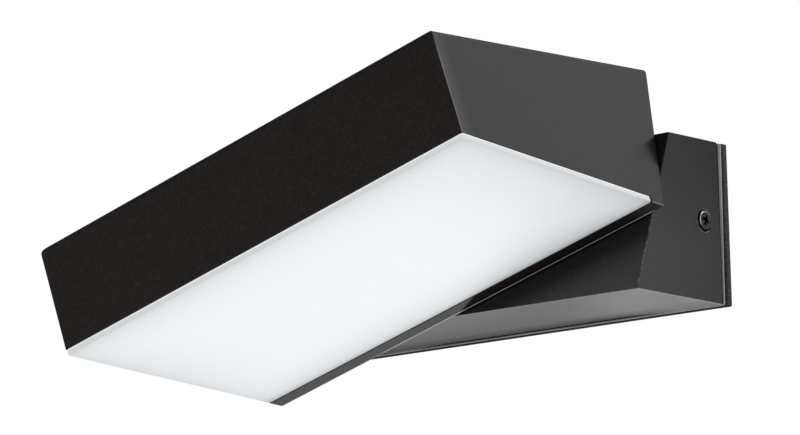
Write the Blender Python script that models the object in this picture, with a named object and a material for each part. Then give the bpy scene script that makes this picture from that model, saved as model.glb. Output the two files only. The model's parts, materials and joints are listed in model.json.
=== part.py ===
"""Outdoor wall light with a turning head.

A wedge-shaped base box covers a wall plate. A long head is carried on the base's slanted front by a hollow
shaft, and turns about the line square to that front. Its underside is one opal diffuser.

The wall is the plane y = 0, with the light in front of it at negative y. X runs along the wall and Z up.
The origin is the centre of the wall plate's back face.

Three frames carry the pieces. The world holds what is fixed to the wall. The joint frame lies in the base's
slanted front, with its Y axis along the shaft and into the base. The floor frame lies in the head's
underside, with its origin at the head's lower back edge, -Y towards the nose and Z up into the head.
"""

import math

import bmesh
import bpy
from mathutils import Matrix, Vector

MM = 0.001

# Shared by the whole light
CLEARANCE = 0.3 * MM  # between two pieces that touch on the real light
OVERRUN = 2 * MM  # how far a cut runs past the face that it leaves
ROUND_STEPS = 24  # sides of a round piece
SMALL_STEPS = 12  # sides of a screw

# Wall plate and the gasket on it
BASE_LENGTH = 200 * MM
PLATE_HEIGHT = 68 * MM
PLATE_THICKNESS = 3.0 * MM
PLATE_CORNER = 0.8 * MM
CORNER_STEPS = 4
ROUND_PROFILE = 0.5  # of a bevel that follows an arc
EDGE_STEPS = 2  # of a small rounded edge
GASKET_THICKNESS = 3.2 * MM
GASKET_WIDTH = 5 * MM
TAB_THICKNESS = 4 * MM
TAB_WIDTH = 16 * MM
SLOT_WIDTH = 5.4 * MM
SLOT_LENGTH = 12 * MM
SLOT_FROM_END = 20 * MM  # from the plate's end to the middle of a fixing slot
SLOT_STEPS = 8
WALL_SCREW_ROOM = 7 * MM  # kept free round the middle of a slot for a screw's head
CABLE_HOLE_RADIUS = 7.5 * MM
CABLE_HOLE_FROM_SLOT = 20 * MM

# Base housing
BASE_DEPTH_TOP = 39.5 * MM  # from the wall to the slanted front's upper edge
BASE_DEPTH_BOTTOM = 64 * MM  # from the wall to its lower edge
UNDERSIDE_DROP = 0.7 * MM  # the underside falls this far from its front edge to the wall
RELIEF_RISE = 1.0 * MM  # the underside's rear edge is hollowed by this much in its middle
RELIEF_DEPTH = 11 * MM  # it runs out this far in front of the rear edge
RELIEF_WIDTH = 100 * MM  # of its highest part
RELIEF_FLARE = 12 * MM  # wider by this at its front, on each side
RELIEF_RUNOUT = 32 * MM  # it falls to nothing over this length at each end
RELIEF_REACH = 3  # the tool that cuts it reaches this many times as far
BASE_WALL = 3 * MM
SIDE_SCREW_DEPTH = 17.1 * MM  # from the wall to the side screws
SIDE_PAD_RADIUS = 7 * MM
PIVOT_BOSS_RADIUS = 26 * MM
PIVOT_BOSS_RISE = 3 * MM  # beyond the inner face of the front wall

# Side screws, M4 pan head
SIDE_SCREW_RADIUS = 2 * MM
SIDE_HEAD_RADIUS = 3.9 * MM
SIDE_HEAD_HEIGHT = 2.4 * MM
COUNTERBORE_RADIUS = 4.6 * MM
COUNTERBORE_DEPTH = 2 * MM
SIDE_SCREW_SPARE = 2 * MM  # how far the screw stands out of the tab
CROSS_WIDTH_SHARE = 0.3  # a cross recess's arm, as a share of the head's radius
CROSS_LENGTH_SHARE = 1.1
CROSS_DEPTH_SHARE = 0.55  # of the head's height

# Inner screws, M3 pan head
SCREW_RADIUS = 1.5 * MM
SCREW_HEAD_RADIUS = 2.8 * MM
SCREW_HEAD_HEIGHT = 2 * MM
SCREW_GRIP = 2.6 * MM  # how deep a screw goes into the piece that holds its thread
PAD_RISE = 2 * MM  # pads of the wall plate that take inner screws

# Cable grommet
GROMMET_BORE = 4.2 * MM
GROMMET_FLANGE_RADIUS = 10 * MM
GROMMET_FLANGE = 2 * MM
GROMMET_COLLAR = 1.6 * MM  # the flange on the wall side lies in a recess this deep
GROMMET_NECK_RADIUS = 6 * MM
GROMMET_NECK = 5 * MM

# Terminal block, its poles one above the other
TERMINAL_FROM_CABLE = 21 * MM  # from the cable hole's middle to the block's near side
TERMINAL_LENGTH = 18 * MM
TERMINAL_DEPTH = 13 * MM
POLE_PITCH = 9 * MM
POLES = 3
WIRE_HOLE_RADIUS = 1.7 * MM
WIRE_HOLE_DEPTH = 4 * MM
TERMINAL_SCREW_RADIUS = 1.8 * MM
TERMINAL_SCREW_LENGTH = 4 * MM
TERMINAL_SCREW_SINK = 1.5 * MM
TERMINAL_SCREW_SPACING = 9 * MM

# Earth point on the wall plate
EARTH_BELOW_MIDDLE = 25 * MM
EARTH_TAG_RADIUS = 3.6 * MM
EARTH_TAG_LENGTH = 8 * MM
EARTH_TAG_THICKNESS = 0.8 * MM
EARTH_TAG_NECK = 3 * MM

# Driver
DRIVER_LENGTH = 46 * MM
DRIVER_WIDTH = 34 * MM
DRIVER_DEPTH = 19 * MM
DRIVER_EAR = 6 * MM
DRIVER_EAR_THICKNESS = 3 * MM
DRIVER_EAR_WIDTH = 10 * MM
DRIVER_EDGE = 1.2 * MM

# Leads
WIRE_RADIUS = 1.1 * MM
LEAD_RADIUS = 2.2 * MM
LEAD_STEPS = 3  # points of a lead between two places of its route
LEAD_RISE = 5 * MM  # a lead's first run, straight out of its piece
WIRE_PITCH = 3.4 * MM  # between two wires side by side
STRAIGHT_SHARE = 0.4  # of a lead's first and last runs

# Swivel: the radii and runs of what sits on the shaft
FACE_GAP = 1 * MM  # between the base's front and the head's back
SHAFT_RADIUS = 10 * MM
SHAFT_BORE = 6.5 * MM
SHAFT_FLAT = 1 * MM  # depth of the flat that keys the stop ring
SHAFT_FLANGE_RADIUS = 19 * MM
SHAFT_FLANGE = 2.5 * MM
SHAFT_SCREWS = 3
SHAFT_SCREW_CIRCLE = 14.6 * MM
BUSH_WALL = 2.4 * MM
BUSH_FLANGE_RADIUS = 17 * MM
BUSH_FLANGE = 1.2 * MM
WASHER_INNER = 20 * MM
WASHER_OUTER = 30 * MM
SEAL_CIRCLE = 16.5 * MM
SEAL_RADIUS = 1 * MM
SEAL_STEPS = 8
STOP_RING = 2 * MM
STOP_RING_RADIUS = 16 * MM
STOP_TAB_RADIUS = 24 * MM
STOP_TAB_WIDTH = 7 * MM
STOP_POST_RADIUS = 2 * MM
STOP_TURN = math.radians(90)  # each way, from the head level with the base
STOP_SPARE = math.radians(1.5)  # the tab stops this short of a post in the model
WAVE_WASHER = 1 * MM
WAVE_RISE = 0.4 * MM
WAVES = 3
WAVE_WASHER_RADIUS = 15 * MM
NUT_FLATS = 28 * MM
NUT_SIDES = 6
NUT_HEIGHT = 6 * MM
SHAFT_SPARE = 1.5 * MM  # shaft beyond the nut
PLUG_LENGTH = 9 * MM
PLUG_FLANGE = 1.5 * MM
PLUG_FLANGE_RADIUS = 8.5 * MM

# Head housing, in side view
HEAD_LENGTH = 200 * MM
HEAD_TURN = math.radians(19.8)  # the pose of this model, from the head level with the base
FLOOR_LENGTH = 145 * MM  # the head's underside, from the wall side to the nose
NOSE_HEIGHT = 47.2 * MM
HEAD_RISE = 0.6 * MM  # the head's back stands this far above the base's front
BACK_LEAN = math.radians(18.6)  # of the head's back, from the line square to its underside
HEAD_WALL = 3 * MM
HEAD_BACK_WALL = 4 * MM
HEAD_TOP_RADIUS = 2.4 * MM
HEAD_TOP_STEPS = 3
LIP_WIDTH = 9 * MM  # of the underside behind the diffuser
LIP_HEIGHT = 7 * MM
LIP_WALL = 3 * MM

# Diffuser, its seal and the reflector
DIFFUSER_BAND = 2.5 * MM  # how far the diffuser's level lies below the housing's lower edge
DIFFUSER_INSET = 0.2 * MM
DIFFUSER_EDGE = 0.3 * MM
DIFFUSER_RIM = 2 * MM
DIFFUSER_RIM_TOP = 7 * MM
DIFFUSER_CORNER = 2 * MM
SEAL_WIDTH = 1.5 * MM
SEAL_HEIGHT = 2.5 * MM
REFLECTOR_WALL = 1.2 * MM
REFLECTOR_FLANGE = 1 * MM
REFLECTOR_SLOPE = 12 * MM  # how far the reflector's wall leans in on its way up

# Tray and board
TRAY_LEVEL = 16 * MM  # of the tray's lower face above the underside
TRAY_THICKNESS = 2 * MM
TRAY_MARGIN = 2 * MM
TRAY_SCREW_MARGIN = 4 * MM  # from the tray's edge to its screws
TRAY_BOSS_RADIUS = 3.4 * MM
BOARD_THICKNESS = 1.6 * MM
BOARD_MARGIN = 1.5 * MM  # inside the reflector's flange
BOARD_SCREW_MARGIN = 6 * MM
LED_COLUMNS = 8
LED_ROWS = 5
LED_SIZE = 3.5 * MM
LED_HEIGHT = 0.8 * MM
LED_FIELD_MARGIN = 14 * MM  # from the board's edge to the outer LEDs
LEAD_HOLE_RADIUS = 4 * MM
LEAD_HOLE_FROM_EDGE = 12 * MM

# Worked out from the sizes above
BASE_HALF = BASE_LENGTH / 2
PLATE_TOP = PLATE_HEIGHT / 2
HOUSING_BACK = PLATE_THICKNESS + GASKET_THICKNESS + 2 * CLEARANCE
FRONT_HEIGHT = PLATE_HEIGHT - UNDERSIDE_DROP
FRONT_SLOPE = BASE_DEPTH_BOTTOM - BASE_DEPTH_TOP
SLANT = math.atan2(FRONT_SLOPE, FRONT_HEIGHT)
FRONT_FACE = math.hypot(FRONT_SLOPE, FRONT_HEIGHT)  # height of the slanted front, along it
JOINT_PLACE = Vector((0, -(BASE_DEPTH_TOP + BASE_DEPTH_BOTTOM) / 2, PLATE_TOP - FRONT_HEIGHT / 2))
TAB_FACE = BASE_HALF - GASKET_WIDTH - CLEARANCE
SLOT_X = BASE_HALF - SLOT_FROM_END
CABLE_X = SLOT_X - CABLE_HOLE_FROM_SLOT
PAD_FACE = -(PLATE_THICKNESS + PAD_RISE)  # y of the face that inner pieces are screwed to
SEAT = PAD_FACE - CLEARANCE
TERMINAL_RIGHT = CABLE_X - TERMINAL_FROM_CABLE
TERMINAL_LEFT = TERMINAL_RIGHT - TERMINAL_LENGTH
TERMINAL_X = (TERMINAL_LEFT + TERMINAL_RIGHT) / 2
TERMINAL_FRONT = SEAT - TERMINAL_DEPTH
EARTH_X = TERMINAL_LEFT + EARTH_TAG_LENGTH
EARTH_Z = -EARTH_BELOW_MIDDLE
DRIVER_LEFT = -SLOT_X + WALL_SCREW_ROOM + DRIVER_EAR
DRIVER_RIGHT = DRIVER_LEFT + DRIVER_LENGTH
DRIVER_X = (DRIVER_LEFT + DRIVER_RIGHT) / 2
DRIVER_EAR_Z = -POLE_PITCH / 2  # between two poles, so that the leads run beside the driver's screws

HEAD_HALF = HEAD_LENGTH / 2
BACK_HEIGHT = FRONT_FACE + HEAD_RISE  # the head's back covers the base's front
OPENING_HALF = HEAD_HALF - HEAD_WALL
OPENING_BACK = -(LIP_WIDTH + LIP_WALL)
OPENING_FRONT = -(FLOOR_LENGTH - HEAD_WALL)
OPENING = (-OPENING_HALF, OPENING_HALF, OPENING_FRONT, OPENING_BACK)
SCREW_HOLE_RADIUS = SCREW_RADIUS + CLEARANCE
RIM_INSET = SEAL_WIDTH + 2 * CLEARANCE
TRAY_TOP = TRAY_LEVEL + TRAY_THICKNESS
BOSS_BOTTOM = TRAY_TOP + CLEARANCE
TRAY_SCREW_INSET = TRAY_MARGIN + TRAY_SCREW_MARGIN
REFLECTOR_TOP = TRAY_LEVEL - CLEARANCE
REFLECTOR_BOTTOM = DIFFUSER_RIM_TOP + CLEARANCE
REFLECTOR_INSET = RIM_INSET + (DIFFUSER_RIM - REFLECTOR_WALL) / 2
FLANGE_INSET = REFLECTOR_INSET + REFLECTOR_SLOPE
BOARD_INSET = FLANGE_INSET + BOARD_MARGIN
BOARD_TOP = TRAY_LEVEL - CLEARANCE
BOARD_BOTTOM = BOARD_TOP - BOARD_THICKNESS

# Along the joint frame's Y axis, which runs into the base from its front face
WALL_INSIDE = BASE_WALL
BOSS_INSIDE = BASE_WALL + PIVOT_BOSS_RISE
BUSH_INSIDE = BOSS_INSIDE + CLEARANCE + BUSH_FLANGE
RING_START = BUSH_INSIDE + CLEARANCE
RING_END = RING_START + STOP_RING
WAVE_START = RING_END + CLEARANCE
WAVE_END = WAVE_START + WAVE_WASHER + 2 * WAVE_RISE
NUT_START = WAVE_END + CLEARANCE
NUT_END = NUT_START + NUT_HEIGHT
SHAFT_END = NUT_END + SHAFT_SPARE
HEAD_BACK_INSIDE = -(FACE_GAP + HEAD_BACK_WALL)
FLANGE_START = HEAD_BACK_INSIDE - CLEARANCE - SHAFT_FLANGE
SLEEVE_RADIUS = SHAFT_RADIUS + CLEARANCE
BUSH_RADIUS = SLEEVE_RADIUS + BUSH_WALL
BUSH_HOLE_RADIUS = BUSH_RADIUS + CLEARANCE


def clear_scene():
    for leftover in list(bpy.data.objects):
        bpy.data.objects.remove(leftover)


def finish(name, colour, roughness, metallic=0.0, alpha=1.0):
    """A Principled material: linear colour, roughness and how metallic it is."""
    material = bpy.data.materials.new(name)
    material.use_nodes = True
    shader = material.node_tree.nodes["Principled BSDF"]
    shader.inputs["Base Color"].default_value = (*colour, 1)
    shader.inputs["Roughness"].default_value = roughness
    shader.inputs["Metallic"].default_value = metallic
    shader.inputs["Alpha"].default_value = alpha
    material.diffuse_color = (*colour, alpha)
    return material


def carried(axis, first, second, along):
    """The point whose two outline coordinates and place along the axis are given."""
    if axis == "X":
        return Vector((along, first, second))
    if axis == "Y":
        return Vector((first, along, second))
    return Vector((first, second, along))


def stitch(mesh, rings, closed=True):
    """Faces between rings of equal length, from each ring to the next, and round to the first if closed."""
    count = len(rings[0])
    pairs = zip(rings, rings[1:] + rings[:1]) if closed else zip(rings, rings[1:])
    for ring, following in pairs:
        for i in range(count):
            j = (i + 1) % count
            mesh.faces.new((ring[i], ring[j], following[j], following[i]))


def add_prism(mesh, axis, outline, low, high, place=Matrix()):
    """A straight prism: a closed outline carried along an axis from low to high."""
    rings = []
    for along in (low, high):
        rings.append([mesh.verts.new(place @ carried(axis, a, b, along)) for a, b in outline])
    stitch(mesh, rings, closed=False)
    mesh.faces.new(rings[0])
    mesh.faces.new(rings[1])


def add_box(mesh, x, y, z, place=Matrix()):
    """A box from its (low, high) pair on each axis."""
    add_prism(mesh, "X", [(y[0], z[0]), (y[1], z[0]), (y[1], z[1]), (y[0], z[1])], *x, place)


def add_turned(mesh, outline, steps, place=Matrix()):
    """A turned solid: an outline of (radius, along) carried round the Y axis.

    An outline that starts and ends on the axis makes a solid piece, any other a ring."""
    angles = [math.tau * step / steps for step in range(steps)]
    rings = []
    for radius, along in outline:
        if radius:
            spots = [Vector((radius * math.cos(a), along, radius * math.sin(a))) for a in angles]
            rings.append([mesh.verts.new(place @ spot) for spot in spots])
        else:
            rings.append(mesh.verts.new(place @ Vector((0, along, 0))))
    if outline[0][0] and outline[-1][0]:
        stitch(mesh, rings)
        return
    stitch(mesh, rings[1:-1], closed=False)
    for tip, ring in ((rings[0], rings[1]), (rings[-1], rings[-2])):
        for i in range(steps):
            mesh.faces.new((tip, ring[i], ring[(i + 1) % steps]))


def add_rod(mesh, radius, low, high, steps, place=Matrix()):
    """A round or many-sided rod along the Y axis."""
    corners = [math.tau * step / steps for step in range(steps)]
    outline = [(radius * math.cos(a), radius * math.sin(a)) for a in corners]
    add_prism(mesh, "Y", outline, low, high, place)


def ring_section(inner, outer, low, high):
    """The outline of a plain ring, for add_turned."""
    return [(inner, low), (outer, low), (outer, high), (inner, high)]


def rounded_rectangle(low_a, high_a, low_b, high_b, radius, steps=CORNER_STEPS):
    """A rectangle's outline with round corners, as points."""
    points = []
    quarter = math.pi / 2
    centres = [
        (high_a - radius, high_b - radius),
        (low_a + radius, high_b - radius),
        (low_a + radius, low_b + radius),
        (high_a - radius, low_b + radius),
    ]
    for turn, (a, b) in enumerate(centres):
        for step in range(steps + 1):
            angle = quarter * (turn + step / steps)
            points.append((a + radius * math.cos(angle), b + radius * math.sin(angle)))
    return points


def add_frame(mesh, axis, limits, section, corner, place=Matrix()):
    """A frame: a closed section of (inset, along) carried round a rectangle with round corners."""
    low_a, high_a, low_b, high_b = limits
    rings = []
    for inset, along in section:
        radius = max(corner - inset, corner / 2)
        outline = rounded_rectangle(low_a + inset, high_a - inset, low_b + inset, high_b - inset, radius)
        rings.append([mesh.verts.new(place @ carried(axis, a, b, along)) for a, b in outline])
    stitch(mesh, rings)


def rounded_edges(mesh, edges, radius, steps):
    """Rounds edges of an open mesh with arcs of the radius."""
    bmesh.ops.bevel(
        mesh, geom=edges, offset=radius, segments=steps, affect="EDGES", profile=ROUND_PROFILE
    )


def shrunk(outline, walls):
    """Moves each side of a convex outline inwards by its own wall, and gives the new corners.

    Wall i belongs to the side from corner i to the next, and a negative wall moves its side outwards."""
    middle = sum((Vector(point) for point in outline), Vector((0, 0))) / len(outline)
    lines = []
    for i, wall in enumerate(walls):
        start, end = Vector(outline[i]), Vector(outline[(i + 1) % len(outline)])
        along = (end - start).normalized()
        inward = Vector((-along.y, along.x))
        if inward.dot(middle - start) < 0:
            inward.negate()
        lines.append((start + wall * inward, along))
    corners = []
    for i, (point, along) in enumerate(lines):
        other, other_along = lines[i - 1]
        gap = other - point
        step = (gap.x * other_along.y - gap.y * other_along.x) / (
            along.x * other_along.y - along.y * other_along.x
        )
        corners.append(tuple(point + step * along))
    return corners


def make(name, material, parent, build, smooth=False):
    """One named piece: build(mesh) adds its shapes in its parent's frame."""
    mesh = bmesh.new()
    build(mesh)
    bmesh.ops.recalc_face_normals(mesh, faces=mesh.faces)
    data = bpy.data.meshes.new(name)
    mesh.to_mesh(data)
    mesh.free()
    if smooth:
        data.shade_smooth()
        data.set_sharp_from_angle(angle=SMOOTH_ANGLE)
    piece = bpy.data.objects.new(name, data)
    piece.parent = parent
    bpy.context.scene.collection.objects.link(piece)
    if material:
        data.materials.append(material)
    return piece


SMOOTH_ANGLE = math.radians(40)


def combine(piece, operation, label, build):
    """Cuts shapes out of a piece, or joins them to it, with a hidden tool in the same frame."""
    tool = make(f"{piece.name}_{label}", None, piece.parent, build)
    tool.hide_render = True
    tool.display_type = "WIRE"
    modifier = piece.modifiers.new(label, "BOOLEAN")
    modifier.operation = operation
    modifier.solver = "EXACT"
    modifier.object = tool


def cut(piece, label, build):
    combine(piece, "DIFFERENCE", label, build)


def join(piece, label, build):
    combine(piece, "UNION", label, build)


def frame_empty(name, place, parent=None):
    """An empty that carries pieces, at a place in its parent's frame."""
    empty = bpy.data.objects.new(name, None)
    empty.parent = parent
    empty.matrix_basis = place
    bpy.context.scene.collection.objects.link(empty)
    return empty


def screw_outline(radius, head_radius, head_height, length):
    """A pan head screw with its head towards -Y and the head's underside at zero."""
    edge = head_height * PAN_EDGE_SHARE
    return [
        (0, -head_height),
        (head_radius * PAN_TOP_SHARE, -head_height),
        (head_radius, -edge),
        (head_radius, 0),
        (radius, 0),
        (radius, length),
        (0, length),
    ]


PAN_EDGE_SHARE = 0.55  # of a pan head's height that is straight
PAN_TOP_SHARE = 0.72  # of its radius that is flat on top


def add_cross(mesh, head_radius, head_height, place):
    """The cross recess of a screw head, as two crossed bars joined into one outline."""
    arm = head_radius * CROSS_WIDTH_SHARE / 2
    reach = head_radius * CROSS_LENGTH_SHARE / 2
    outline = []
    for turn in range(4):
        quarter = Matrix.Rotation(turn * math.pi / 2, 2)
        outline += [tuple(quarter @ Vector(corner)) for corner in ((arm, arm), (arm, reach), (-arm, reach))]
    add_prism(mesh, "Y", outline, -head_height - OVERRUN, -head_height * (1 - CROSS_DEPTH_SHARE), place)


def make_screw(name, material, parent, place, grip):
    """An inner screw whose head rests on the plane y = 0 of its place, and which reaches grip beyond it."""

    def body(mesh):
        outline = screw_outline(SCREW_RADIUS, SCREW_HEAD_RADIUS, SCREW_HEAD_HEIGHT, grip)
        add_turned(mesh, outline, SMALL_STEPS, place)

    screw = make(name, material, parent, body, smooth=True)
    cut(screw, "recess", lambda mesh: add_cross(mesh, SCREW_HEAD_RADIUS, SCREW_HEAD_HEIGHT, place))


def smooth_route(places):
    """Points on a smooth curve through the places of a lead's route, straight at both ends."""
    straight_start = places[0].lerp(places[1], STRAIGHT_SHARE)
    straight_end = places[-1].lerp(places[-2], STRAIGHT_SHARE)
    places = [places[0], straight_start, *places[1:-1], straight_end, places[-1]]
    padded = [2 * places[0] - places[1], *places, 2 * places[-1] - places[-2]]
    points = []
    for before, start, end, after in zip(padded, padded[1:], padded[2:], padded[3:]):
        for step in range(LEAD_STEPS):
            t = step / LEAD_STEPS
            points.append(
                (
                    2 * start
                    + (end - before) * t
                    + (2 * before - 5 * start + 4 * end - after) * t**2
                    + (3 * start - before - 3 * end + after) * t**3
                )
                / 2
            )
    return [*points, places[-1]]


def make_lead(name, material, parent, radius, places):
    """A round lead along a route."""
    curve = bpy.data.curves.new(name, "CURVE")
    curve.dimensions = "3D"
    curve.bevel_depth = radius
    curve.bevel_resolution = 2
    curve.use_fill_caps = True
    points = smooth_route([Vector(place) for place in places])
    spline = curve.splines.new("POLY")
    spline.points.add(len(points) - 1)
    for point, place in zip(spline.points, points):
        point.co = (*place, 1)
    curve.materials.append(material)
    lead = bpy.data.objects.new(name, curve)
    lead.parent = parent
    bpy.context.scene.collection.objects.link(lead)
    return lead


def move(x, y, z):
    return Matrix.Translation((x, y, z))


TOWARDS_LEFT = Matrix.Rotation(math.pi / 2, 4, "Z")  # turns +Y to -X
TOWARDS_RIGHT = Matrix.Rotation(-math.pi / 2, 4, "Z")  # turns +Y to +X
UPWARDS = Matrix.Rotation(math.pi / 2, 4, "X")  # turns +Y to +Z


def slot_outline(x, half_width, half_length, steps=SLOT_STEPS):
    """An upright slot with round ends, as (x, z) points."""
    points = []
    for side, centre in ((1, half_length - half_width), (-1, half_width - half_length)):
        for step in range(steps + 1):
            angle = math.pi * step / steps
            across, up = half_width * math.cos(angle), half_width * math.sin(angle)
            points.append((x + side * across, centre + side * up))
    return points


def pole_height(pole):
    """Height of a terminal pole's middle, counted from the top one."""
    return ((POLES - 1) / 2 - pole) * POLE_PITCH


def driver_ear_places():
    """The middles of the driver's two ears, as (x, z)."""
    return [(x, DRIVER_EAR_Z) for x in (DRIVER_LEFT - DRIVER_EAR / 2, DRIVER_RIGHT + DRIVER_EAR / 2)]


TERMINAL_FIXING_Z = (pole_height(0) + pole_height(1)) / 2


def make_wall_plate(material):
    """The cast plate: side tabs, pads for the inner pieces, fixing slots and the cable hole."""
    outline = rounded_rectangle(-BASE_HALF, BASE_HALF, -PLATE_TOP, PLATE_TOP, PLATE_CORNER)

    def slab(mesh):
        add_prism(mesh, "Y", outline, -PLATE_THICKNESS, 0)

    plate = make("wall_plate", material, None, slab, smooth=True)
    middle = -PLATE_THICKNESS / 2
    tab_tip = -(SIDE_SCREW_DEPTH + TAB_WIDTH / 2)
    half_block = POLES * POLE_PITCH / 2

    def raised(mesh):
        for side in (-1, 1):
            ends = sorted((side * TAB_FACE, side * (TAB_FACE - TAB_THICKNESS)))
            add_box(mesh, ends, (tab_tip, middle), (-TAB_WIDTH / 2, TAB_WIDTH / 2))
        for x, z in driver_ear_places():
            half, half_width = DRIVER_EAR / 2, DRIVER_EAR_WIDTH / 2
            add_box(mesh, (x - half, x + half), (PAD_FACE, middle), (z - half_width, z + half_width))
        add_box(mesh, (TERMINAL_LEFT, TERMINAL_RIGHT), (PAD_FACE, middle), (-half_block, half_block))
        add_rod(mesh, EARTH_TAG_RADIUS, PAD_FACE, middle, SMALL_STEPS, move(EARTH_X, 0, EARTH_Z))

    def cuts(mesh):
        through = (-PLATE_THICKNESS - OVERRUN, OVERRUN)
        for side in (-1, 1):
            add_prism(mesh, "Y", slot_outline(side * SLOT_X, SLOT_WIDTH / 2, SLOT_LENGTH / 2), *through)
            place = move(side * TAB_FACE, -SIDE_SCREW_DEPTH, 0) @ TOWARDS_LEFT
            ends = sorted((-OVERRUN * side, (TAB_THICKNESS + OVERRUN) * side))
            add_rod(mesh, SIDE_SCREW_RADIUS + CLEARANCE, *ends, SMALL_STEPS, place)
        collar = [
            (0, through[0]),
            (CABLE_HOLE_RADIUS, through[0]),
            (CABLE_HOLE_RADIUS, -GROMMET_COLLAR),
            (GROMMET_FLANGE_RADIUS, -GROMMET_COLLAR),
            (GROMMET_FLANGE_RADIUS, through[1]),
            (0, through[1]),
        ]
        add_turned(mesh, collar, ROUND_STEPS, move(CABLE_X, 0, 0))
        depth = PAD_FACE + SCREW_GRIP + CLEARANCE
        for x, z in [*driver_ear_places(), (TERMINAL_X, TERMINAL_FIXING_Z), (EARTH_X, EARTH_Z)]:
            add_rod(mesh, SCREW_HOLE_RADIUS, PAD_FACE - OVERRUN, depth, SMALL_STEPS, move(x, 0, z))

    join(plate, "raised", raised)
    cut(plate, "cuts", cuts)


def make_base_gasket(material):
    """The soft frame squeezed between plate and housing."""
    back = -PLATE_THICKNESS - CLEARANCE
    front = back - GASKET_THICKNESS
    limits = (-BASE_HALF, BASE_HALF, -PLATE_TOP, PLATE_TOP)
    section = [(0, back), (0, front), (GASKET_WIDTH, front), (GASKET_WIDTH, back)]

    def band(mesh):
        add_frame(mesh, "Y", limits, section, PLATE_CORNER)

    make("base_gasket", material, None, band, smooth=True)


def base_outline():
    """The base housing in side view, as (y, z): back top, back bottom, front bottom, front top."""
    return [
        (-HOUSING_BACK, PLATE_TOP),
        (-HOUSING_BACK, -PLATE_TOP),
        (-BASE_DEPTH_BOTTOM, PLATE_TOP - FRONT_HEIGHT),
        (-BASE_DEPTH_TOP, PLATE_TOP),
    ]


def stop_post_angles():
    """Angles of the two stop posts round the shaft, from straight up: the tab meets one at each limit."""
    tab_half = math.asin(STOP_TAB_WIDTH / 2 / post_circle())
    post_half = math.asin(STOP_POST_RADIUS / post_circle())
    from_below = STOP_TURN + tab_half + post_half + STOP_SPARE
    return [math.pi - from_below, math.pi + from_below]


def post_circle():
    """Radius on which the stop posts stand: outside the stop ring, under its tab."""
    return (STOP_RING_RADIUS + STOP_TAB_RADIUS) / 2


def make_base_housing(material, joint):
    """The hollow wedge, open at the back, with the swivel's boss and stop posts inside its front wall."""
    outer = base_outline()
    inner = shrunk(outer, (-OVERRUN, BASE_WALL, BASE_WALL, BASE_WALL))
    hollow_half = BASE_HALF - BASE_WALL

    def wedge(mesh):
        add_prism(mesh, "X", outer, -BASE_HALF, BASE_HALF)

    def hollow(mesh):
        add_prism(mesh, "X", inner, -hollow_half, hollow_half)

    def raised(mesh):
        for side in (-1, 1):
            place = move(side * (BASE_HALF - GASKET_WIDTH), -SIDE_SCREW_DEPTH, 0) @ TOWARDS_RIGHT
            length = (GASKET_WIDTH - BASE_WALL / 2) * side
            add_rod(mesh, SIDE_PAD_RADIUS, *sorted((0, length)), ROUND_STEPS, place)
        add_rod(mesh, PIVOT_BOSS_RADIUS, WALL_INSIDE / 2, BOSS_INSIDE, ROUND_STEPS, joint)

    def posts(mesh):
        for angle in stop_post_angles():
            place = joint @ move(post_circle() * math.sin(angle), 0, post_circle() * math.cos(angle))
            add_rod(mesh, STOP_POST_RADIUS, WALL_INSIDE, RING_END, SMALL_STEPS, place)

    def holes(mesh):
        for _, place in screw_places():
            hole = SIDE_SCREW_RADIUS + CLEARANCE
            outline = [
                (0, -OVERRUN),
                (COUNTERBORE_RADIUS, -OVERRUN),
                (COUNTERBORE_RADIUS, COUNTERBORE_DEPTH),
                (hole, COUNTERBORE_DEPTH),
                (hole, GASKET_WIDTH + OVERRUN),
                (0, GASKET_WIDTH + OVERRUN),
            ]
            add_turned(mesh, outline, ROUND_STEPS, place)
        add_rod(mesh, BUSH_HOLE_RADIUS, -OVERRUN, BOSS_INSIDE + OVERRUN, ROUND_STEPS, joint)

    def groove(mesh):
        half = SEAL_RADIUS + CLEARANCE
        bottom = seal_middle() + half
        section = ring_section(SEAL_CIRCLE - half, SEAL_CIRCLE + half, -OVERRUN, bottom)
        add_turned(mesh, section, ROUND_STEPS, joint)

    def relief(mesh):
        """A wedge along X whose roof falls forwards and to both ends."""
        front_share = RELIEF_DEPTH / (BASE_DEPTH_BOTTOM - HOUSING_BACK)
        drop = RELIEF_RISE - UNDERSIDE_DROP * front_share
        forwards = Vector((RELIEF_FLARE, -RELIEF_DEPTH, -drop))
        sideways = Vector((RELIEF_RUNOUT, 0, -RELIEF_RISE))
        peak = Vector((RELIEF_WIDTH / 2, -HOUSING_BACK, RELIEF_RISE - PLATE_TOP))
        peak -= forwards * (OVERRUN / RELIEF_DEPTH)
        rows = []
        for side in (-1, 1):
            spots = (peak, peak + RELIEF_REACH * forwards, peak + RELIEF_REACH * sideways)
            rows.append([mesh.verts.new((side * spot.x, spot.y, spot.z)) for spot in spots])
        stitch(mesh, rows, closed=False)
        mesh.faces.new(rows[0])
        mesh.faces.new(rows[1])

    housing = make("base_housing", material, None, wedge)
    cut(housing, "hollow", hollow)
    join(housing, "raised", raised)
    join(housing, "posts", posts)
    cut(housing, "holes", holes)
    cut(housing, "groove", groove)
    cut(housing, "relief", relief)


def screw_places():
    """Both side screws: their side, and the frame whose Y axis runs into the base from its end face."""
    return [
        (-1, move(-BASE_HALF, -SIDE_SCREW_DEPTH, 0) @ TOWARDS_RIGHT),
        (1, move(BASE_HALF, -SIDE_SCREW_DEPTH, 0) @ TOWARDS_LEFT),
    ]


def seal_middle():
    """Place of the pivot seal's middle along the shaft, so that it nearly meets the head's back."""
    return SEAL_RADIUS + CLEARANCE - FACE_GAP


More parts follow.
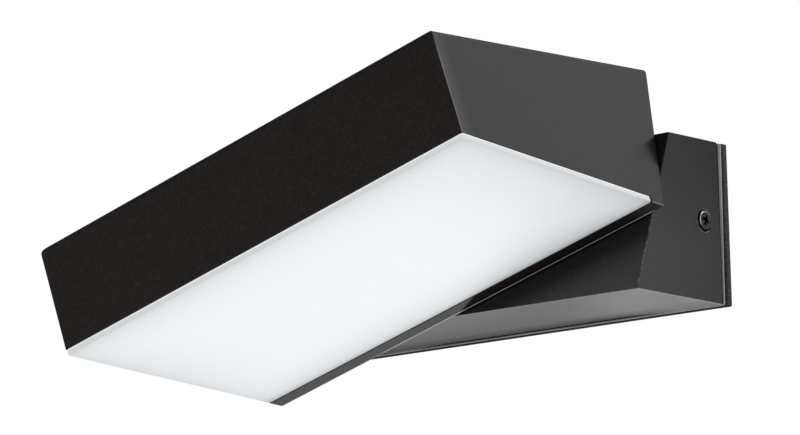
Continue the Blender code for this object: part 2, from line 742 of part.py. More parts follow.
def make_side_screws(material):
    under_head = COUNTERBORE_DEPTH - CLEARANCE
    length = GASKET_WIDTH + CLEARANCE + TAB_THICKNESS + SIDE_SCREW_SPARE - under_head
    outline = screw_outline(SIDE_SCREW_RADIUS, SIDE_HEAD_RADIUS, SIDE_HEAD_HEIGHT, length)
    for side, end in screw_places():
        place = end @ move(0, under_head, 0)
        name = "side_screw_left" if side < 0 else "side_screw_right"

        def body(mesh):
            add_turned(mesh, outline, ROUND_STEPS, place)

        screw = make(name, material, None, body, smooth=True)
        cut(screw, "recess", lambda mesh: add_cross(mesh, SIDE_HEAD_RADIUS, SIDE_HEAD_HEIGHT, place))


def make_cable_grommet(material):
    """A rubber grommet: a flange in the plate's recess, one inside the plate, and a tapered neck."""
    inside = -PLATE_THICKNESS - CLEARANCE
    hole = CABLE_HOLE_RADIUS - CLEARANCE
    collar = GROMMET_FLANGE_RADIUS - CLEARANCE
    outline = [
        (GROMMET_BORE, 0),
        (collar, 0),
        (collar, -GROMMET_COLLAR + CLEARANCE),
        (hole, -GROMMET_COLLAR + CLEARANCE),
        (hole, inside),
        (GROMMET_FLANGE_RADIUS, inside),
        (GROMMET_FLANGE_RADIUS, inside - GROMMET_FLANGE),
        (GROMMET_NECK_RADIUS, inside - GROMMET_FLANGE),
        ((GROMMET_NECK_RADIUS + GROMMET_BORE) / 2, inside - GROMMET_FLANGE - GROMMET_NECK),
        (GROMMET_BORE, inside - GROMMET_FLANGE - GROMMET_NECK),
    ]

    def body(mesh):
        add_turned(mesh, outline, ROUND_STEPS, move(CABLE_X, 0, 0))

    make("cable_grommet", material, None, body, smooth=True)


def terminal_screw_places():
    half = TERMINAL_SCREW_SPACING / 2
    return [(TERMINAL_X + side * half, pole_height(pole)) for pole in range(POLES) for side in (-1, 1)]


def make_terminal_block(body, metal):
    """Three poles one above the other, each with a wire hole and a clamp screw at both sides."""
    half_block = POLES * POLE_PITCH / 2

    def body_box(mesh):
        add_box(mesh, (TERMINAL_LEFT, TERMINAL_RIGHT), (TERMINAL_FRONT, SEAT), (-half_block, half_block))

    block = make("terminal_block", body, None, body_box)
    well = TERMINAL_SCREW_RADIUS + CLEARANCE
    well_floor = TERMINAL_FRONT + TERMINAL_SCREW_SINK + TERMINAL_SCREW_LENGTH + CLEARANCE

    def cuts(mesh):
        for x, z in terminal_screw_places():
            add_rod(mesh, well, TERMINAL_FRONT - OVERRUN, well_floor, SMALL_STEPS, move(x, 0, z))
        for pole in range(POLES):
            for side, x in ((-1, TERMINAL_LEFT), (1, TERMINAL_RIGHT)):
                place = move(x, wire_depth(), pole_height(pole)) @ TOWARDS_LEFT
                ends = sorted((-OVERRUN * side, WIRE_HOLE_DEPTH * side))
                add_rod(mesh, WIRE_HOLE_RADIUS, *ends, SMALL_STEPS, place)

    def fixing(mesh):
        place = move(TERMINAL_X, 0, TERMINAL_FIXING_Z)
        head = SCREW_HEAD_RADIUS + CLEARANCE
        outline = [
            (0, TERMINAL_FRONT - OVERRUN),
            (head, TERMINAL_FRONT - OVERRUN),
            (head, fixing_seat()),
            (SCREW_HOLE_RADIUS, fixing_seat()),
            (SCREW_HOLE_RADIUS, SEAT + OVERRUN),
            (0, SEAT + OVERRUN),
        ]
        add_turned(mesh, outline, SMALL_STEPS, place)

    cut(block, "wells", cuts)
    cut(block, "fixing", fixing)
    for number, (x, z) in enumerate(terminal_screw_places(), start=1):
        make_clamp_screw(f"terminal_screw_{number}", metal, x, z)
    place = move(TERMINAL_X, fixing_seat() - CLEARANCE, TERMINAL_FIXING_Z)
    make_screw("terminal_fixing_screw", metal, None, place, PAD_FACE + SCREW_GRIP - fixing_seat())


def make_clamp_screw(name, metal, x, z):
    """A headless terminal screw with a slot across its outer end."""
    top = TERMINAL_FRONT + TERMINAL_SCREW_SINK
    half = TERMINAL_SCREW_RADIUS * CROSS_WIDTH_SHARE
    reach = TERMINAL_SCREW_RADIUS + OVERRUN

    def body(mesh):
        end = top + TERMINAL_SCREW_LENGTH
        add_rod(mesh, TERMINAL_SCREW_RADIUS, top, end, SMALL_STEPS, move(x, 0, z))

    def slot(mesh):
        add_box(mesh, (x - reach, x + reach), (top - OVERRUN, top + 2 * half), (z - half, z + half))

    screw = make(name, metal, None, body)
    cut(screw, "slot", slot)


def wire_depth():
    """y of the wires that enter the terminal block: under its clamp screws."""
    return (TERMINAL_FRONT + TERMINAL_SCREW_SINK + TERMINAL_SCREW_LENGTH + SEAT) / 2


def fixing_seat():
    """y of the ledge that the terminal block's fixing screw presses on."""
    return (TERMINAL_FRONT + SEAT) / 2


def make_earth_point(metal, tag_metal):
    """A ring tag under a screw on the wall plate."""
    half = EARTH_TAG_NECK / 2
    front = SEAT - EARTH_TAG_THICKNESS
    middle = move(EARTH_X, 0, EARTH_Z)

    def disc(mesh):
        add_rod(mesh, EARTH_TAG_RADIUS, front, SEAT, ROUND_STEPS, middle)

    def neck(mesh):
        ends = (EARTH_X - EARTH_TAG_LENGTH, EARTH_X - EARTH_TAG_RADIUS / 2)
        add_box(mesh, ends, (front, SEAT), (EARTH_Z - half, EARTH_Z + half))

    def eye(mesh):
        add_rod(mesh, SCREW_HOLE_RADIUS, front - OVERRUN, SEAT + OVERRUN, SMALL_STEPS, middle)

    tag = make("earth_tag", tag_metal, None, disc)
    join(tag, "neck", neck)
    cut(tag, "eye", eye)
    place = move(EARTH_X, front - CLEARANCE, EARTH_Z)
    make_screw("earth_screw", metal, None, place, EARTH_TAG_THICKNESS + 2 * CLEARANCE + SCREW_GRIP)


def make_driver(case, metal):
    """The potted supply: a case with an ear at each end, each held by a screw."""
    half = DRIVER_WIDTH / 2
    ear = (DRIVER_EAR_Z - DRIVER_EAR_WIDTH / 2, DRIVER_EAR_Z + DRIVER_EAR_WIDTH / 2)

    def case_box(mesh):
        add_box(mesh, (DRIVER_LEFT, DRIVER_RIGHT), (SEAT - DRIVER_DEPTH, SEAT), (-half, half))
        front = min(vert.co.y for vert in mesh.verts) + DRIVER_EDGE
        edges = [edge for edge in mesh.edges if all(vert.co.y < front for vert in edge.verts)]
        rounded_edges(mesh, edges, DRIVER_EDGE, EDGE_STEPS)

    def ears(mesh):
        for side, end in ((-1, DRIVER_LEFT), (1, DRIVER_RIGHT)):
            ends = sorted((end + side * DRIVER_EAR, end - side * DRIVER_EAR))
            add_box(mesh, ends, (SEAT - DRIVER_EAR_THICKNESS, SEAT), ear)

    def holes(mesh):
        for x, z in driver_ear_places():
            through = (SEAT - DRIVER_EAR_THICKNESS - OVERRUN, SEAT + OVERRUN)
            add_rod(mesh, SCREW_HOLE_RADIUS, *through, SMALL_STEPS, move(x, 0, z))

    driver = make("led_driver", case, None, case_box)
    join(driver, "ears", ears)
    cut(driver, "holes", holes)
    for name, (x, z) in zip(("driver_screw_left", "driver_screw_right"), driver_ear_places()):
        place = move(x, SEAT - DRIVER_EAR_THICKNESS - CLEARANCE, z)
        make_screw(name, metal, None, place, DRIVER_EAR_THICKNESS + 2 * CLEARANCE + SCREW_GRIP)


def make_base_leads(live, neutral, earth, sheath, joint):
    """The driver's two supply leads over its top to the terminal block, the earth and output leads."""
    start = DRIVER_LEFT - CLEARANCE
    lead_y = SEAT - DRIVER_EAR_THICKNESS - SCREW_HEAD_HEIGHT - (DRIVER_DEPTH - DRIVER_EAR_THICKNESS) / 2
    over_top = DRIVER_WIDTH / 2 + CLEARANCE + WIRE_RADIUS
    halfway = (DRIVER_RIGHT + TERMINAL_LEFT) / 2
    entry = TERMINAL_LEFT + WIRE_HOLE_DEPTH / 2
    for pole, (name, material) in enumerate((("live_lead", live), ("neutral_lead", neutral))):
        height = pole_height(pole)
        outside = (1 - pole) * WIRE_PITCH  # the upper pole's lead runs round the outside of the other
        leave = DRIVER_WIDTH / 4 - outside
        rise = over_top + outside
        turn = start - LEAD_RISE - outside
        places = [
            (start, lead_y, leave),
            (start - LEAD_RISE / 2, lead_y, leave),
            (turn, lead_y, (leave + rise) / 2),
            (start, lead_y, rise),
            (DRIVER_X, lead_y, rise),
            (DRIVER_RIGHT, lead_y, rise),
            (halfway, (lead_y + wire_depth()) / 2, (rise + height) / 2 + WIRE_PITCH),
            (TERMINAL_LEFT - LEAD_RISE, wire_depth(), height),
            (entry, wire_depth(), height),
        ]
        make_lead(name, material, None, WIRE_RADIUS, places)
    height = pole_height(POLES - 1)
    tag_end = EARTH_X - EARTH_TAG_LENGTH
    tag_front = SEAT - EARTH_TAG_THICKNESS - CLEARANCE - WIRE_RADIUS
    make_lead(
        "earth_lead",
        earth,
        None,
        WIRE_RADIUS,
        [
            (entry, wire_depth(), height),
            (TERMINAL_LEFT - LEAD_RISE, wire_depth(), height),
            (tag_end - LEAD_RISE, (wire_depth() + tag_front) / 2, (height + EARTH_Z) / 2),
            (tag_end - LEAD_RISE / 2, tag_front, EARTH_Z),
            (tag_end + LEAD_RISE / 2, tag_front, EARTH_Z),
        ],
    )
    inside, outside = CLEARANCE - LEAD_RISE / 2, LEAD_RISE / 2  # of the shaft's end, along its axis
    mouth = [joint @ Vector((0, SHAFT_END + along, 0)) for along in (inside, outside)]
    side = DRIVER_RIGHT + CLEARANCE
    out_y = SEAT - DRIVER_DEPTH + LEAD_RADIUS + DRIVER_EDGE
    out_z = -DRIVER_WIDTH / 4
    make_lead(
        "output_lead",
        sheath,
        None,
        LEAD_RADIUS,
        [
            (side, out_y, out_z),
            (side + LEAD_RISE, out_y, out_z),
            ((side + LEAD_RISE) / 2, out_y + LEAD_RISE / 2, (out_z + mouth[1].z) / 2),
            mouth[1],
            mouth[0],
        ],
    )


def make_turned(name, material, parent, outline):
    """A piece turned round its parent's Y axis."""

    def body(mesh):
        add_turned(mesh, outline, ROUND_STEPS)

    return make(name, material, parent, body, smooth=True)


def make_pivot_in_base(plastic, rubber, joint_frame):
    """What the shaft turns in: the bush, the friction washer between the faces and the seal in its groove."""
    bush = [
        (SLEEVE_RADIUS, CLEARANCE),
        (BUSH_RADIUS, CLEARANCE),
        (BUSH_RADIUS, BOSS_INSIDE + CLEARANCE),
        (BUSH_FLANGE_RADIUS - CLEARANCE, BOSS_INSIDE + CLEARANCE),
        (BUSH_FLANGE_RADIUS - CLEARANCE, BUSH_INSIDE),
        (SLEEVE_RADIUS, BUSH_INSIDE),
    ]
    make_turned("pivot_bush", plastic, joint_frame, bush)
    washer = ring_section(WASHER_INNER, WASHER_OUTER, CLEARANCE - FACE_GAP, -CLEARANCE)
    make_turned("friction_washer", plastic, joint_frame, washer)
    corners = [math.tau * step / SEAL_STEPS for step in range(SEAL_STEPS)]
    seal = [
        (SEAL_CIRCLE + SEAL_RADIUS * math.cos(angle), seal_middle() + SEAL_RADIUS * math.sin(angle))
        for angle in corners
    ]
    make_turned("pivot_seal", rubber, joint_frame, seal)


def make_shaft(metal, screw_metal, rubber, head):
    """The hollow shaft with its flange inside the head, its screws and the plug that holds the lead."""
    outline = [
        (SHAFT_BORE, FLANGE_START),
        (SHAFT_FLANGE_RADIUS, FLANGE_START),
        (SHAFT_FLANGE_RADIUS, HEAD_BACK_INSIDE - CLEARANCE),
        (SHAFT_RADIUS, HEAD_BACK_INSIDE - CLEARANCE),
        (SHAFT_RADIUS, SHAFT_END),
        (SHAFT_BORE, SHAFT_END),
    ]

    def flat(mesh):
        reach = SHAFT_RADIUS + OVERRUN
        run = (RING_START - CLEARANCE, SHAFT_END + OVERRUN)
        add_box(mesh, (-reach, reach), run, (SHAFT_RADIUS - SHAFT_FLAT, reach))

    def screw_holes(mesh):
        for place in shaft_screw_places():
            add_rod(mesh, SCREW_HOLE_RADIUS, -OVERRUN, SHAFT_FLANGE + OVERRUN, SMALL_STEPS, place)

    shaft = make_turned("pivot_shaft", metal, head, outline)
    cut(shaft, "flat", flat)
    cut(shaft, "screw_holes", screw_holes)
    for number, place in enumerate(shaft_screw_places(), start=1):
        seat = place @ move(0, -CLEARANCE, 0)
        grip = SHAFT_FLANGE + 2 * CLEARANCE + SCREW_GRIP
        make_screw(f"shaft_screw_{number}", screw_metal, head, seat, grip)
    bore = SHAFT_BORE - CLEARANCE
    hole = LEAD_RADIUS + CLEARANCE
    start = FLANGE_START - CLEARANCE
    plug = [
        (hole, start - PLUG_FLANGE),
        (PLUG_FLANGE_RADIUS, start - PLUG_FLANGE),
        (PLUG_FLANGE_RADIUS, start),
        (bore, start),
        (bore, start + PLUG_LENGTH),
        (hole, start + PLUG_LENGTH),
    ]
    make_turned("shaft_plug", rubber, head, plug)


def shaft_screw_places():
    """The flange's screws, on its face inside the head."""
    places = []
    for number in range(SHAFT_SCREWS):
        angle = math.tau * number / SHAFT_SCREWS
        across, up = SHAFT_SCREW_CIRCLE * math.sin(angle), SHAFT_SCREW_CIRCLE * math.cos(angle)
        places.append(move(across, FLANGE_START, up))
    return places


def make_shaft_fittings(steel, head):
    """What turns with the shaft inside the base: the stop ring, the wave washer and the nut."""

    middle = (SLEEVE_RADIUS + STOP_RING_RADIUS) / 2

    def ring(mesh):
        add_turned(mesh, ring_section(SLEEVE_RADIUS, STOP_RING_RADIUS, RING_START, RING_END), ROUND_STEPS)

    def tab(mesh):
        half = STOP_TAB_WIDTH / 2
        add_box(mesh, (-half, half), (RING_START, RING_END), (-STOP_TAB_RADIUS, -middle))

    def key(mesh):
        flat = SHAFT_RADIUS - SHAFT_FLAT
        half = math.sqrt(SHAFT_RADIUS**2 - flat**2)
        add_box(mesh, (-half, half), (RING_START, RING_END), (flat + CLEARANCE, middle))

    def hexagon(mesh):
        add_rod(mesh, NUT_FLATS / math.sqrt(3), NUT_START, NUT_END, NUT_SIDES)

    def thread(mesh):
        add_rod(mesh, SLEEVE_RADIUS, NUT_START - OVERRUN, NUT_END + OVERRUN, ROUND_STEPS)

    stop_ring = make("stop_ring", steel, head, ring)
    join(stop_ring, "tab", tab)
    join(stop_ring, "key", key)

    def waves(mesh):
        run = (WAVE_START + WAVE_RISE, WAVE_END - WAVE_RISE)
        add_turned(mesh, ring_section(SLEEVE_RADIUS, WAVE_WASHER_RADIUS, *run), ROUND_STEPS)
        for vert in mesh.verts:
            angle = math.atan2(vert.co.z, vert.co.x)
            vert.co.y += WAVE_RISE * math.cos(WAVES * angle)

    make("wave_washer", steel, head, waves, smooth=True)
    nut = make("lock_nut", steel, head, hexagon)
    cut(nut, "thread", thread)


def head_outline():
    """The head in side view, in the floor frame: back bottom, nose bottom, nose top and back top."""
    return [
        (0, 0),
        (-FLOOR_LENGTH, 0),
        (-FLOOR_LENGTH, NOSE_HEIGHT),
        (BACK_HEIGHT * math.sin(BACK_LEAN), BACK_HEIGHT * math.cos(BACK_LEAN)),
    ]


def roof_height(y):
    """Height of the head's top over the underside, at a place along it."""
    (nose_y, nose_z), (back_y, back_z) = head_outline()[2:]
    return nose_z + (back_z - nose_z) * (y - nose_y) / (back_y - nose_y)


def inset_corners(inset):
    """The four corners of the light opening moved inwards, as (x, y)."""
    low_x, high_x, low_y, high_y = OPENING
    return [(x, y) for x in (low_x + inset, high_x - inset) for y in (low_y + inset, high_y - inset)]


def make_head_housing(material, floor, floor_to_head):
    """The hollow wedge of the head: open below in front of its lip, with four bosses under its roof."""
    outer = head_outline()
    inner = shrunk(outer, (LIP_HEIGHT, HEAD_WALL, HEAD_WALL, HEAD_BACK_WALL))
    screw_spots = [move(x, y, 0) @ UPWARDS for x, y in inset_corners(TRAY_SCREW_INSET)]
    into_floor = floor_to_head.inverted()

    def shell(mesh):
        add_prism(mesh, "X", outer, -HEAD_HALF, HEAD_HALF)
        roof = [vert for vert in mesh.verts if vert.co.z > NOSE_HEIGHT / 2]
        edges = [edge for edge in mesh.edges if all(vert in roof for vert in edge.verts)]
        rounded_edges(mesh, edges, HEAD_TOP_RADIUS, HEAD_TOP_STEPS)

    def hollow(mesh):
        add_prism(mesh, "X", inner, -OPENING_HALF, OPENING_HALF)

    def opening(mesh):
        add_box(mesh, OPENING[:2], OPENING[2:], (-OVERRUN, LIP_HEIGHT + OVERRUN))

    def rabbet(mesh):
        half = HEAD_HALF + OVERRUN
        add_box(mesh, (-half, half), (-FLOOR_LENGTH - OVERRUN, -LIP_WIDTH), (-OVERRUN, DIFFUSER_BAND))

    def bosses(mesh):
        for place in screw_spots:
            top = roof_height(place.translation.y) - HEAD_WALL / 2
            add_rod(mesh, TRAY_BOSS_RADIUS, BOSS_BOTTOM, top, SMALL_STEPS, place)

    def boss_holes(mesh):
        for place in screw_spots:
            top = BOSS_BOTTOM + SCREW_GRIP + CLEARANCE
            add_rod(mesh, SCREW_HOLE_RADIUS, BOSS_BOTTOM - OVERRUN, top, SMALL_STEPS, place)

    def shaft_holes(mesh):
        through = (HEAD_BACK_INSIDE - OVERRUN, -FACE_GAP + OVERRUN)
        add_rod(mesh, SLEEVE_RADIUS, *through, ROUND_STEPS, into_floor)
        for place in shaft_screw_places():
            start = SHAFT_FLANGE - OVERRUN
            depth = SHAFT_FLANGE + 2 * CLEARANCE + SCREW_GRIP
            add_rod(mesh, SCREW_HOLE_RADIUS, start, depth, SMALL_STEPS, into_floor @ place)

    housing = make("head_housing", material, floor, shell, smooth=True)
    cut(housing, "hollow", hollow)
    cut(housing, "opening", opening)
    cut(housing, "rabbet", rabbet)
    join(housing, "bosses", bosses)
    cut(housing, "boss_holes", boss_holes)
    cut(housing, "shaft_holes", shaft_holes)


def make_diffuser(opal, rubber, floor):
    """The opal slab that fills the rabbet, with a rim inside the opening, and the seal round that rim."""
    limits = (
        -HEAD_HALF + DIFFUSER_INSET,
        HEAD_HALF - DIFFUSER_INSET,
        -FLOOR_LENGTH + DIFFUSER_INSET,
        -LIP_WIDTH - CLEARANCE,
    )
    slab_top = DIFFUSER_BAND - CLEARANCE

    def slab(mesh):
        add_box(mesh, limits[:2], limits[2:], (0, slab_top))
        edges = [edge for edge in mesh.edges if all(vert.co.z < slab_top / 2 for vert in edge.verts)]
        rounded_edges(mesh, edges, DIFFUSER_EDGE, EDGE_STEPS)

    def rim(mesh):
        inner = RIM_INSET + DIFFUSER_RIM
        section = [
            (RIM_INSET, slab_top / 2),
            (RIM_INSET, DIFFUSER_RIM_TOP),
            (inner, DIFFUSER_RIM_TOP),
            (inner, slab_top / 2),
        ]
        add_frame(mesh, "Z", OPENING, section, DIFFUSER_CORNER)

    diffuser = make("diffuser", opal, floor, slab, smooth=True)
    join(diffuser, "rim", rim)
    low = slab_top + CLEARANCE
    section = [
        (CLEARANCE, low),
        (CLEARANCE, low + SEAL_HEIGHT),
        (CLEARANCE + SEAL_WIDTH, low + SEAL_HEIGHT),
        (CLEARANCE + SEAL_WIDTH, low),
    ]

    def band(mesh):
        add_frame(mesh, "Z", OPENING, section, DIFFUSER_CORNER)

    make("diffuser_seal", rubber, floor, band, smooth=True)


def make_reflector(white, floor):
    """A white frame whose walls lean in from the diffuser's rim up to a flange under the tray."""
    under = REFLECTOR_TOP - REFLECTOR_FLANGE
    section = [
        (TRAY_MARGIN, REFLECTOR_TOP),
        (FLANGE_INSET, REFLECTOR_TOP),
        (REFLECTOR_INSET + REFLECTOR_WALL, REFLECTOR_BOTTOM),
        (REFLECTOR_INSET, REFLECTOR_BOTTOM),
        (FLANGE_INSET - REFLECTOR_WALL, under),
        (TRAY_MARGIN, under),
    ]

    def frame(mesh):
        add_frame(mesh, "Z", OPENING, section, DIFFUSER_CORNER)

    reflector = make("reflector", white, floor, frame)
    through = (under - CLEARANCE, REFLECTOR_TOP + OVERRUN)
    cut(reflector, "holes", lambda mesh: add_holes(mesh, inset_corners(TRAY_SCREW_INSET), through))


def add_holes(mesh, spots, through):
    """Upright screw holes at (x, y) places of the floor frame."""
    for x, y in spots:
        add_rod(mesh, SCREW_HOLE_RADIUS, *through, SMALL_STEPS, move(x, y, 0) @ UPWARDS)


def make_tray_and_board(aluminium, board_material, metal, floor):
    """The plate that spreads the heat, and the LED board under it, each with its four screws."""
    low_x, high_x, low_y, high_y = OPENING
    tray_screws = inset_corners(TRAY_SCREW_INSET)
    board_screws = inset_corners(BOARD_INSET + BOARD_SCREW_MARGIN)

    def plate(mesh):
        width = (low_x + TRAY_MARGIN, high_x - TRAY_MARGIN)
        length = (low_y + TRAY_MARGIN, high_y - TRAY_MARGIN)
        add_box(mesh, width, length, (TRAY_LEVEL, TRAY_TOP))

    def tray_holes(mesh):
        through = (TRAY_LEVEL - OVERRUN, TRAY_TOP + OVERRUN)
        add_holes(mesh, tray_screws + board_screws, through)
        add_rod(mesh, LEAD_HOLE_RADIUS, *through, ROUND_STEPS, move(*lead_hole_place(), 0) @ UPWARDS)

    tray = make("led_tray", aluminium, floor, plate)
    cut(tray, "holes", tray_holes)
    for number, (x, y) in enumerate(tray_screws, start=1):
        place = move(x, y, REFLECTOR_TOP - REFLECTOR_FLANGE - CLEARANCE) @ UPWARDS
        grip = REFLECTOR_FLANGE + TRAY_THICKNESS + 3 * CLEARANCE + SCREW_GRIP
        make_screw(f"tray_screw_{number}", metal, floor, place, grip)

    board = make("led_board", board_material, floor, add_board)
    through = (BOARD_BOTTOM - OVERRUN, BOARD_TOP + OVERRUN)
    cut(board, "holes", lambda mesh: add_holes(mesh, board_screws, through))
    for number, (x, y) in enumerate(board_screws, start=1):
        place = move(x, y, BOARD_BOTTOM - CLEARANCE) @ UPWARDS
        grip = BOARD_THICKNESS + TRAY_THICKNESS + CLEARANCE
        make_screw(f"board_screw_{number}", metal, floor, place, grip)


def lead_hole_place():
    """Where the head's lead passes the tray, near its back edge."""
    return (0, OPENING_BACK - BOARD_INSET - LEAD_HOLE_FROM_EDGE)


def cell_lines(low, high, count):
    """Grid lines across the board in one direction: its two edges, and both sides of each LED."""
    first, last = low + LED_FIELD_MARGIN, high - LED_FIELD_MARGIN
    lines = [low]
    for number in range(count):
        middle = first + (last - first) * number / (count - 1)
        lines += [middle - LED_SIZE / 2, middle + LED_SIZE / 2]
    return [*lines, high]


def add_board(mesh):
    """The board as a grid, with the LED cells in every second column and row standing out downwards."""
    low_x, high_x, low_y, high_y = OPENING
    xs = cell_lines(low_x + BOARD_INSET, high_x - BOARD_INSET, LED_COLUMNS)
    ys = cell_lines(low_y + BOARD_INSET, high_y - BOARD_INSET, LED_ROWS)
    grid = [[mesh.verts.new((x, y, BOARD_BOTTOM)) for y in ys] for x in xs]
    leds = []
    for i in range(len(xs) - 1):
        for j in range(len(ys) - 1):
            face = mesh.faces.new((grid[i][j], grid[i + 1][j], grid[i + 1][j + 1], grid[i][j + 1]))
            if i % 2 and j % 2:
                leds.append(face)
    edge = [row[0] for row in grid] + grid[-1][1:]
    edge += [row[-1] for row in reversed(grid[:-1])] + grid[0][-2:0:-1]
    top = [mesh.verts.new((vert.co.x, vert.co.y, BOARD_TOP)) for vert in edge]
    stitch(mesh, [edge, top], closed=False)
    mesh.faces.new(top)
    raised = bmesh.ops.extrude_discrete_faces(mesh, faces=leds)["faces"]
    for face in raised:
        for vert in face.verts:
            vert.co.z -= LED_HEIGHT


def make_head_lead(sheath, head, floor_to_head):
    """The lead from the board, through the tray and the plug, to the shaft's end in the base."""
    x, y = lead_hole_place()
    low = floor_to_head @ Vector((x, y, BOARD_TOP + CLEARANCE))
    above = floor_to_head @ Vector((x, y, TRAY_TOP + LEAD_RISE))
    mouth = FLANGE_START - PLUG_FLANGE
    places = [
        low,
        above,
        Vector((0, (above.y + mouth) / 2, (above.z - LEAD_RISE) / 2)),
        Vector((0, mouth - LEAD_RISE, 0)),
        Vector((0, mouth, 0)),
        Vector((0, SHAFT_END / 2, 0)),
        Vector((0, SHAFT_END - LEAD_RISE / 2, 0)),
    ]
    make_lead("head_lead", sheath, head, LEAD_RADIUS, places)


def main():
    clear_scene()
    paint = finish("paint", (0.045, 0.043, 0.043), 0.5)
    plate_paint = finish("plate_paint", (0.02, 0.02, 0.02), 0.55)
    silicone = finish("silicone", (0.35, 0.42, 0.47), 0.25)
    opal = finish("opal", (0.9, 0.92, 0.92), 0.3)
    rubber = finish("rubber", (0.02, 0.02, 0.02), 0.8)
    black_steel = finish("black_steel", (0.03, 0.03, 0.03), 0.35, metallic=1.0)
    zinc = finish("zinc", (0.6, 0.6, 0.58), 0.35, metallic=1.0)
    brass = finish("brass", (0.7, 0.5, 0.2), 0.35, metallic=1.0)
    aluminium = finish("aluminium", (0.75, 0.76, 0.77), 0.4, metallic=1.0)
    white_plastic = finish("white_plastic", (0.85, 0.85, 0.83), 0.45)
    bush_plastic = finish("bush_plastic", (0.75, 0.74, 0.7), 0.5)
    driver_case = finish("driver_case", (0.12, 0.12, 0.13), 0.5)
    board_white = finish("board_white", (0.8, 0.82, 0.8), 0.4)
    brown = finish("brown_insulation", (0.15, 0.06, 0.02), 0.45)
    blue = finish("blue_insulation", (0.03, 0.12, 0.45), 0.45)
    green = finish("green_insulation", (0.15, 0.4, 0.05), 0.45)
    black_sheath = finish("black_sheath", (0.03, 0.03, 0.03), 0.5)

    joint = Matrix.Translation(JOINT_PLACE) @ Matrix.Rotation(-SLANT, 4, "X")
    joint_frame = frame_empty("joint_frame", joint)
    head = frame_empty("head_turn", Matrix.Rotation(-HEAD_TURN, 4, "Y"), joint_frame)
    floor_to_head = move(0, -FACE_GAP, -FRONT_FACE / 2) @ Matrix.Rotation(BACK_LEAN, 4, "X")
    floor = frame_empty("head_floor", floor_to_head, head)

    make_wall_plate(plate_paint)
    make_base_gasket(silicone)
    make_base_housing(paint, joint)
    make_side_screws(black_steel)
    make_cable_grommet(rubber)
    make_terminal_block(white_plastic, brass)
    make_earth_point(zinc, brass)
    make_driver(driver_case, zinc)
    make_base_leads(brown, blue, green, black_sheath, joint)
    make_pivot_in_base(bush_plastic, rubber, joint_frame)

    make_shaft(zinc, zinc, rubber, head)
    make_shaft_fittings(zinc, head)
    make_head_housing(paint, floor, floor_to_head)
    make_diffuser(opal, silicone, floor)
    make_reflector(white_plastic, floor)
    make_tray_and_board(aluminium, board_white, zinc, floor)
    make_head_lead(black_sheath, head, floor_to_head)


main()
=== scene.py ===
# %% [markdown]
# # A turning outdoor wall light, dressed in Blender
#
# A wedge-shaped base box sits on a wall plate with a strip of silicone between the two. A long head turns on
# the base's slanted front and shines through an opal diffuser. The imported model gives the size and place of
# every solid. This lesson makes the surfaces that show: fine edges, paint and plastics.

import json
import math
from functools import reduce

import bmesh
import bpy
import numpy as np
from mathutils import Matrix, Vector


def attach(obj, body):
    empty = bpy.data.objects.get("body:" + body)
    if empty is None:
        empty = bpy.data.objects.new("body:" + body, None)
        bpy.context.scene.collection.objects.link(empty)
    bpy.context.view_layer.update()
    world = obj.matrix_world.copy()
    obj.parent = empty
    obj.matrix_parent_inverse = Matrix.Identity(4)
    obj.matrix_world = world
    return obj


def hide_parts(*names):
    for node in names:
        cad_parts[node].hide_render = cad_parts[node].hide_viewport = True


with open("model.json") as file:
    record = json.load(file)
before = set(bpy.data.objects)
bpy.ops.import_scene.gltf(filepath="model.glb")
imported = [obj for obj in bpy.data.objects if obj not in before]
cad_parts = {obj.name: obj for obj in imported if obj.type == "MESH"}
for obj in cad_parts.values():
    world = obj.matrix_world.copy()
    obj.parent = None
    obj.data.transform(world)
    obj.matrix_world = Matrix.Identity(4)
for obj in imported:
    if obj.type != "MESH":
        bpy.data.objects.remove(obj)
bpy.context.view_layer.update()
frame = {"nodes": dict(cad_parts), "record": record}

# %% [markdown]
# ## Sizes
#
# All sizes are in metres, written in millimetres for reading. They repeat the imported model's own sizes, so
# that each new surface lies exactly where its solid is.

# %% Sizes of the base and the head
MM = 0.001
CLEARANCE = 0.3 * MM

BASE_HALF = 100 * MM
PLATE_TOP = 34 * MM
PLATE = 3 * MM
PLATE_CORNER = 0.8 * MM
GASKET = 3.2 * MM
GASKET_WIDTH = 5 * MM
SCREW_DEPTH = 17.1 * MM  # from the wall to the side screws
HOUSING_BACK = PLATE + GASKET + 2 * CLEARANCE
DEPTH_TOP = 39.5 * MM
DEPTH_BOTTOM = 64 * MM
FRONT_HEIGHT = 67.3 * MM
HOUSING_BOTTOM = -34 * MM
WALL = 3 * MM
FRONT_FACE = math.hypot(DEPTH_BOTTOM - DEPTH_TOP, FRONT_HEIGHT)

HEAD_HALF = 100 * MM
FLOOR = 145 * MM
NOSE = 47.2 * MM
HEAD_RISE = 0.6 * MM
LEAN = math.radians(18.6)
TURN = math.radians(19.8)
FACE_GAP = 1 * MM
BACK_WALL = 4 * MM
LIP = 9 * MM
LIP_WALL = 3 * MM
LIP_HEIGHT = 7 * MM
BAND = 2.5 * MM
SLANT = math.atan2(DEPTH_BOTTOM - DEPTH_TOP, FRONT_HEIGHT)

# %% [markdown]
# ## Frames
#
# Three frames carry the pieces. The world has the wall at y = 0 and Z up. The joint frame lies in the slanted
# front, with Y along the shaft. The floor frame lies in the head's underside, with -Y towards the nose. A
# shape is worked out where it is easiest to describe and then sent to the world with one matrix product.

# %% The joint frame, the head's frame and the floor frame
def at(*place):
    return Matrix.Translation(place)


def spin(angle, axis):
    return Matrix.Rotation(angle, 4, axis)


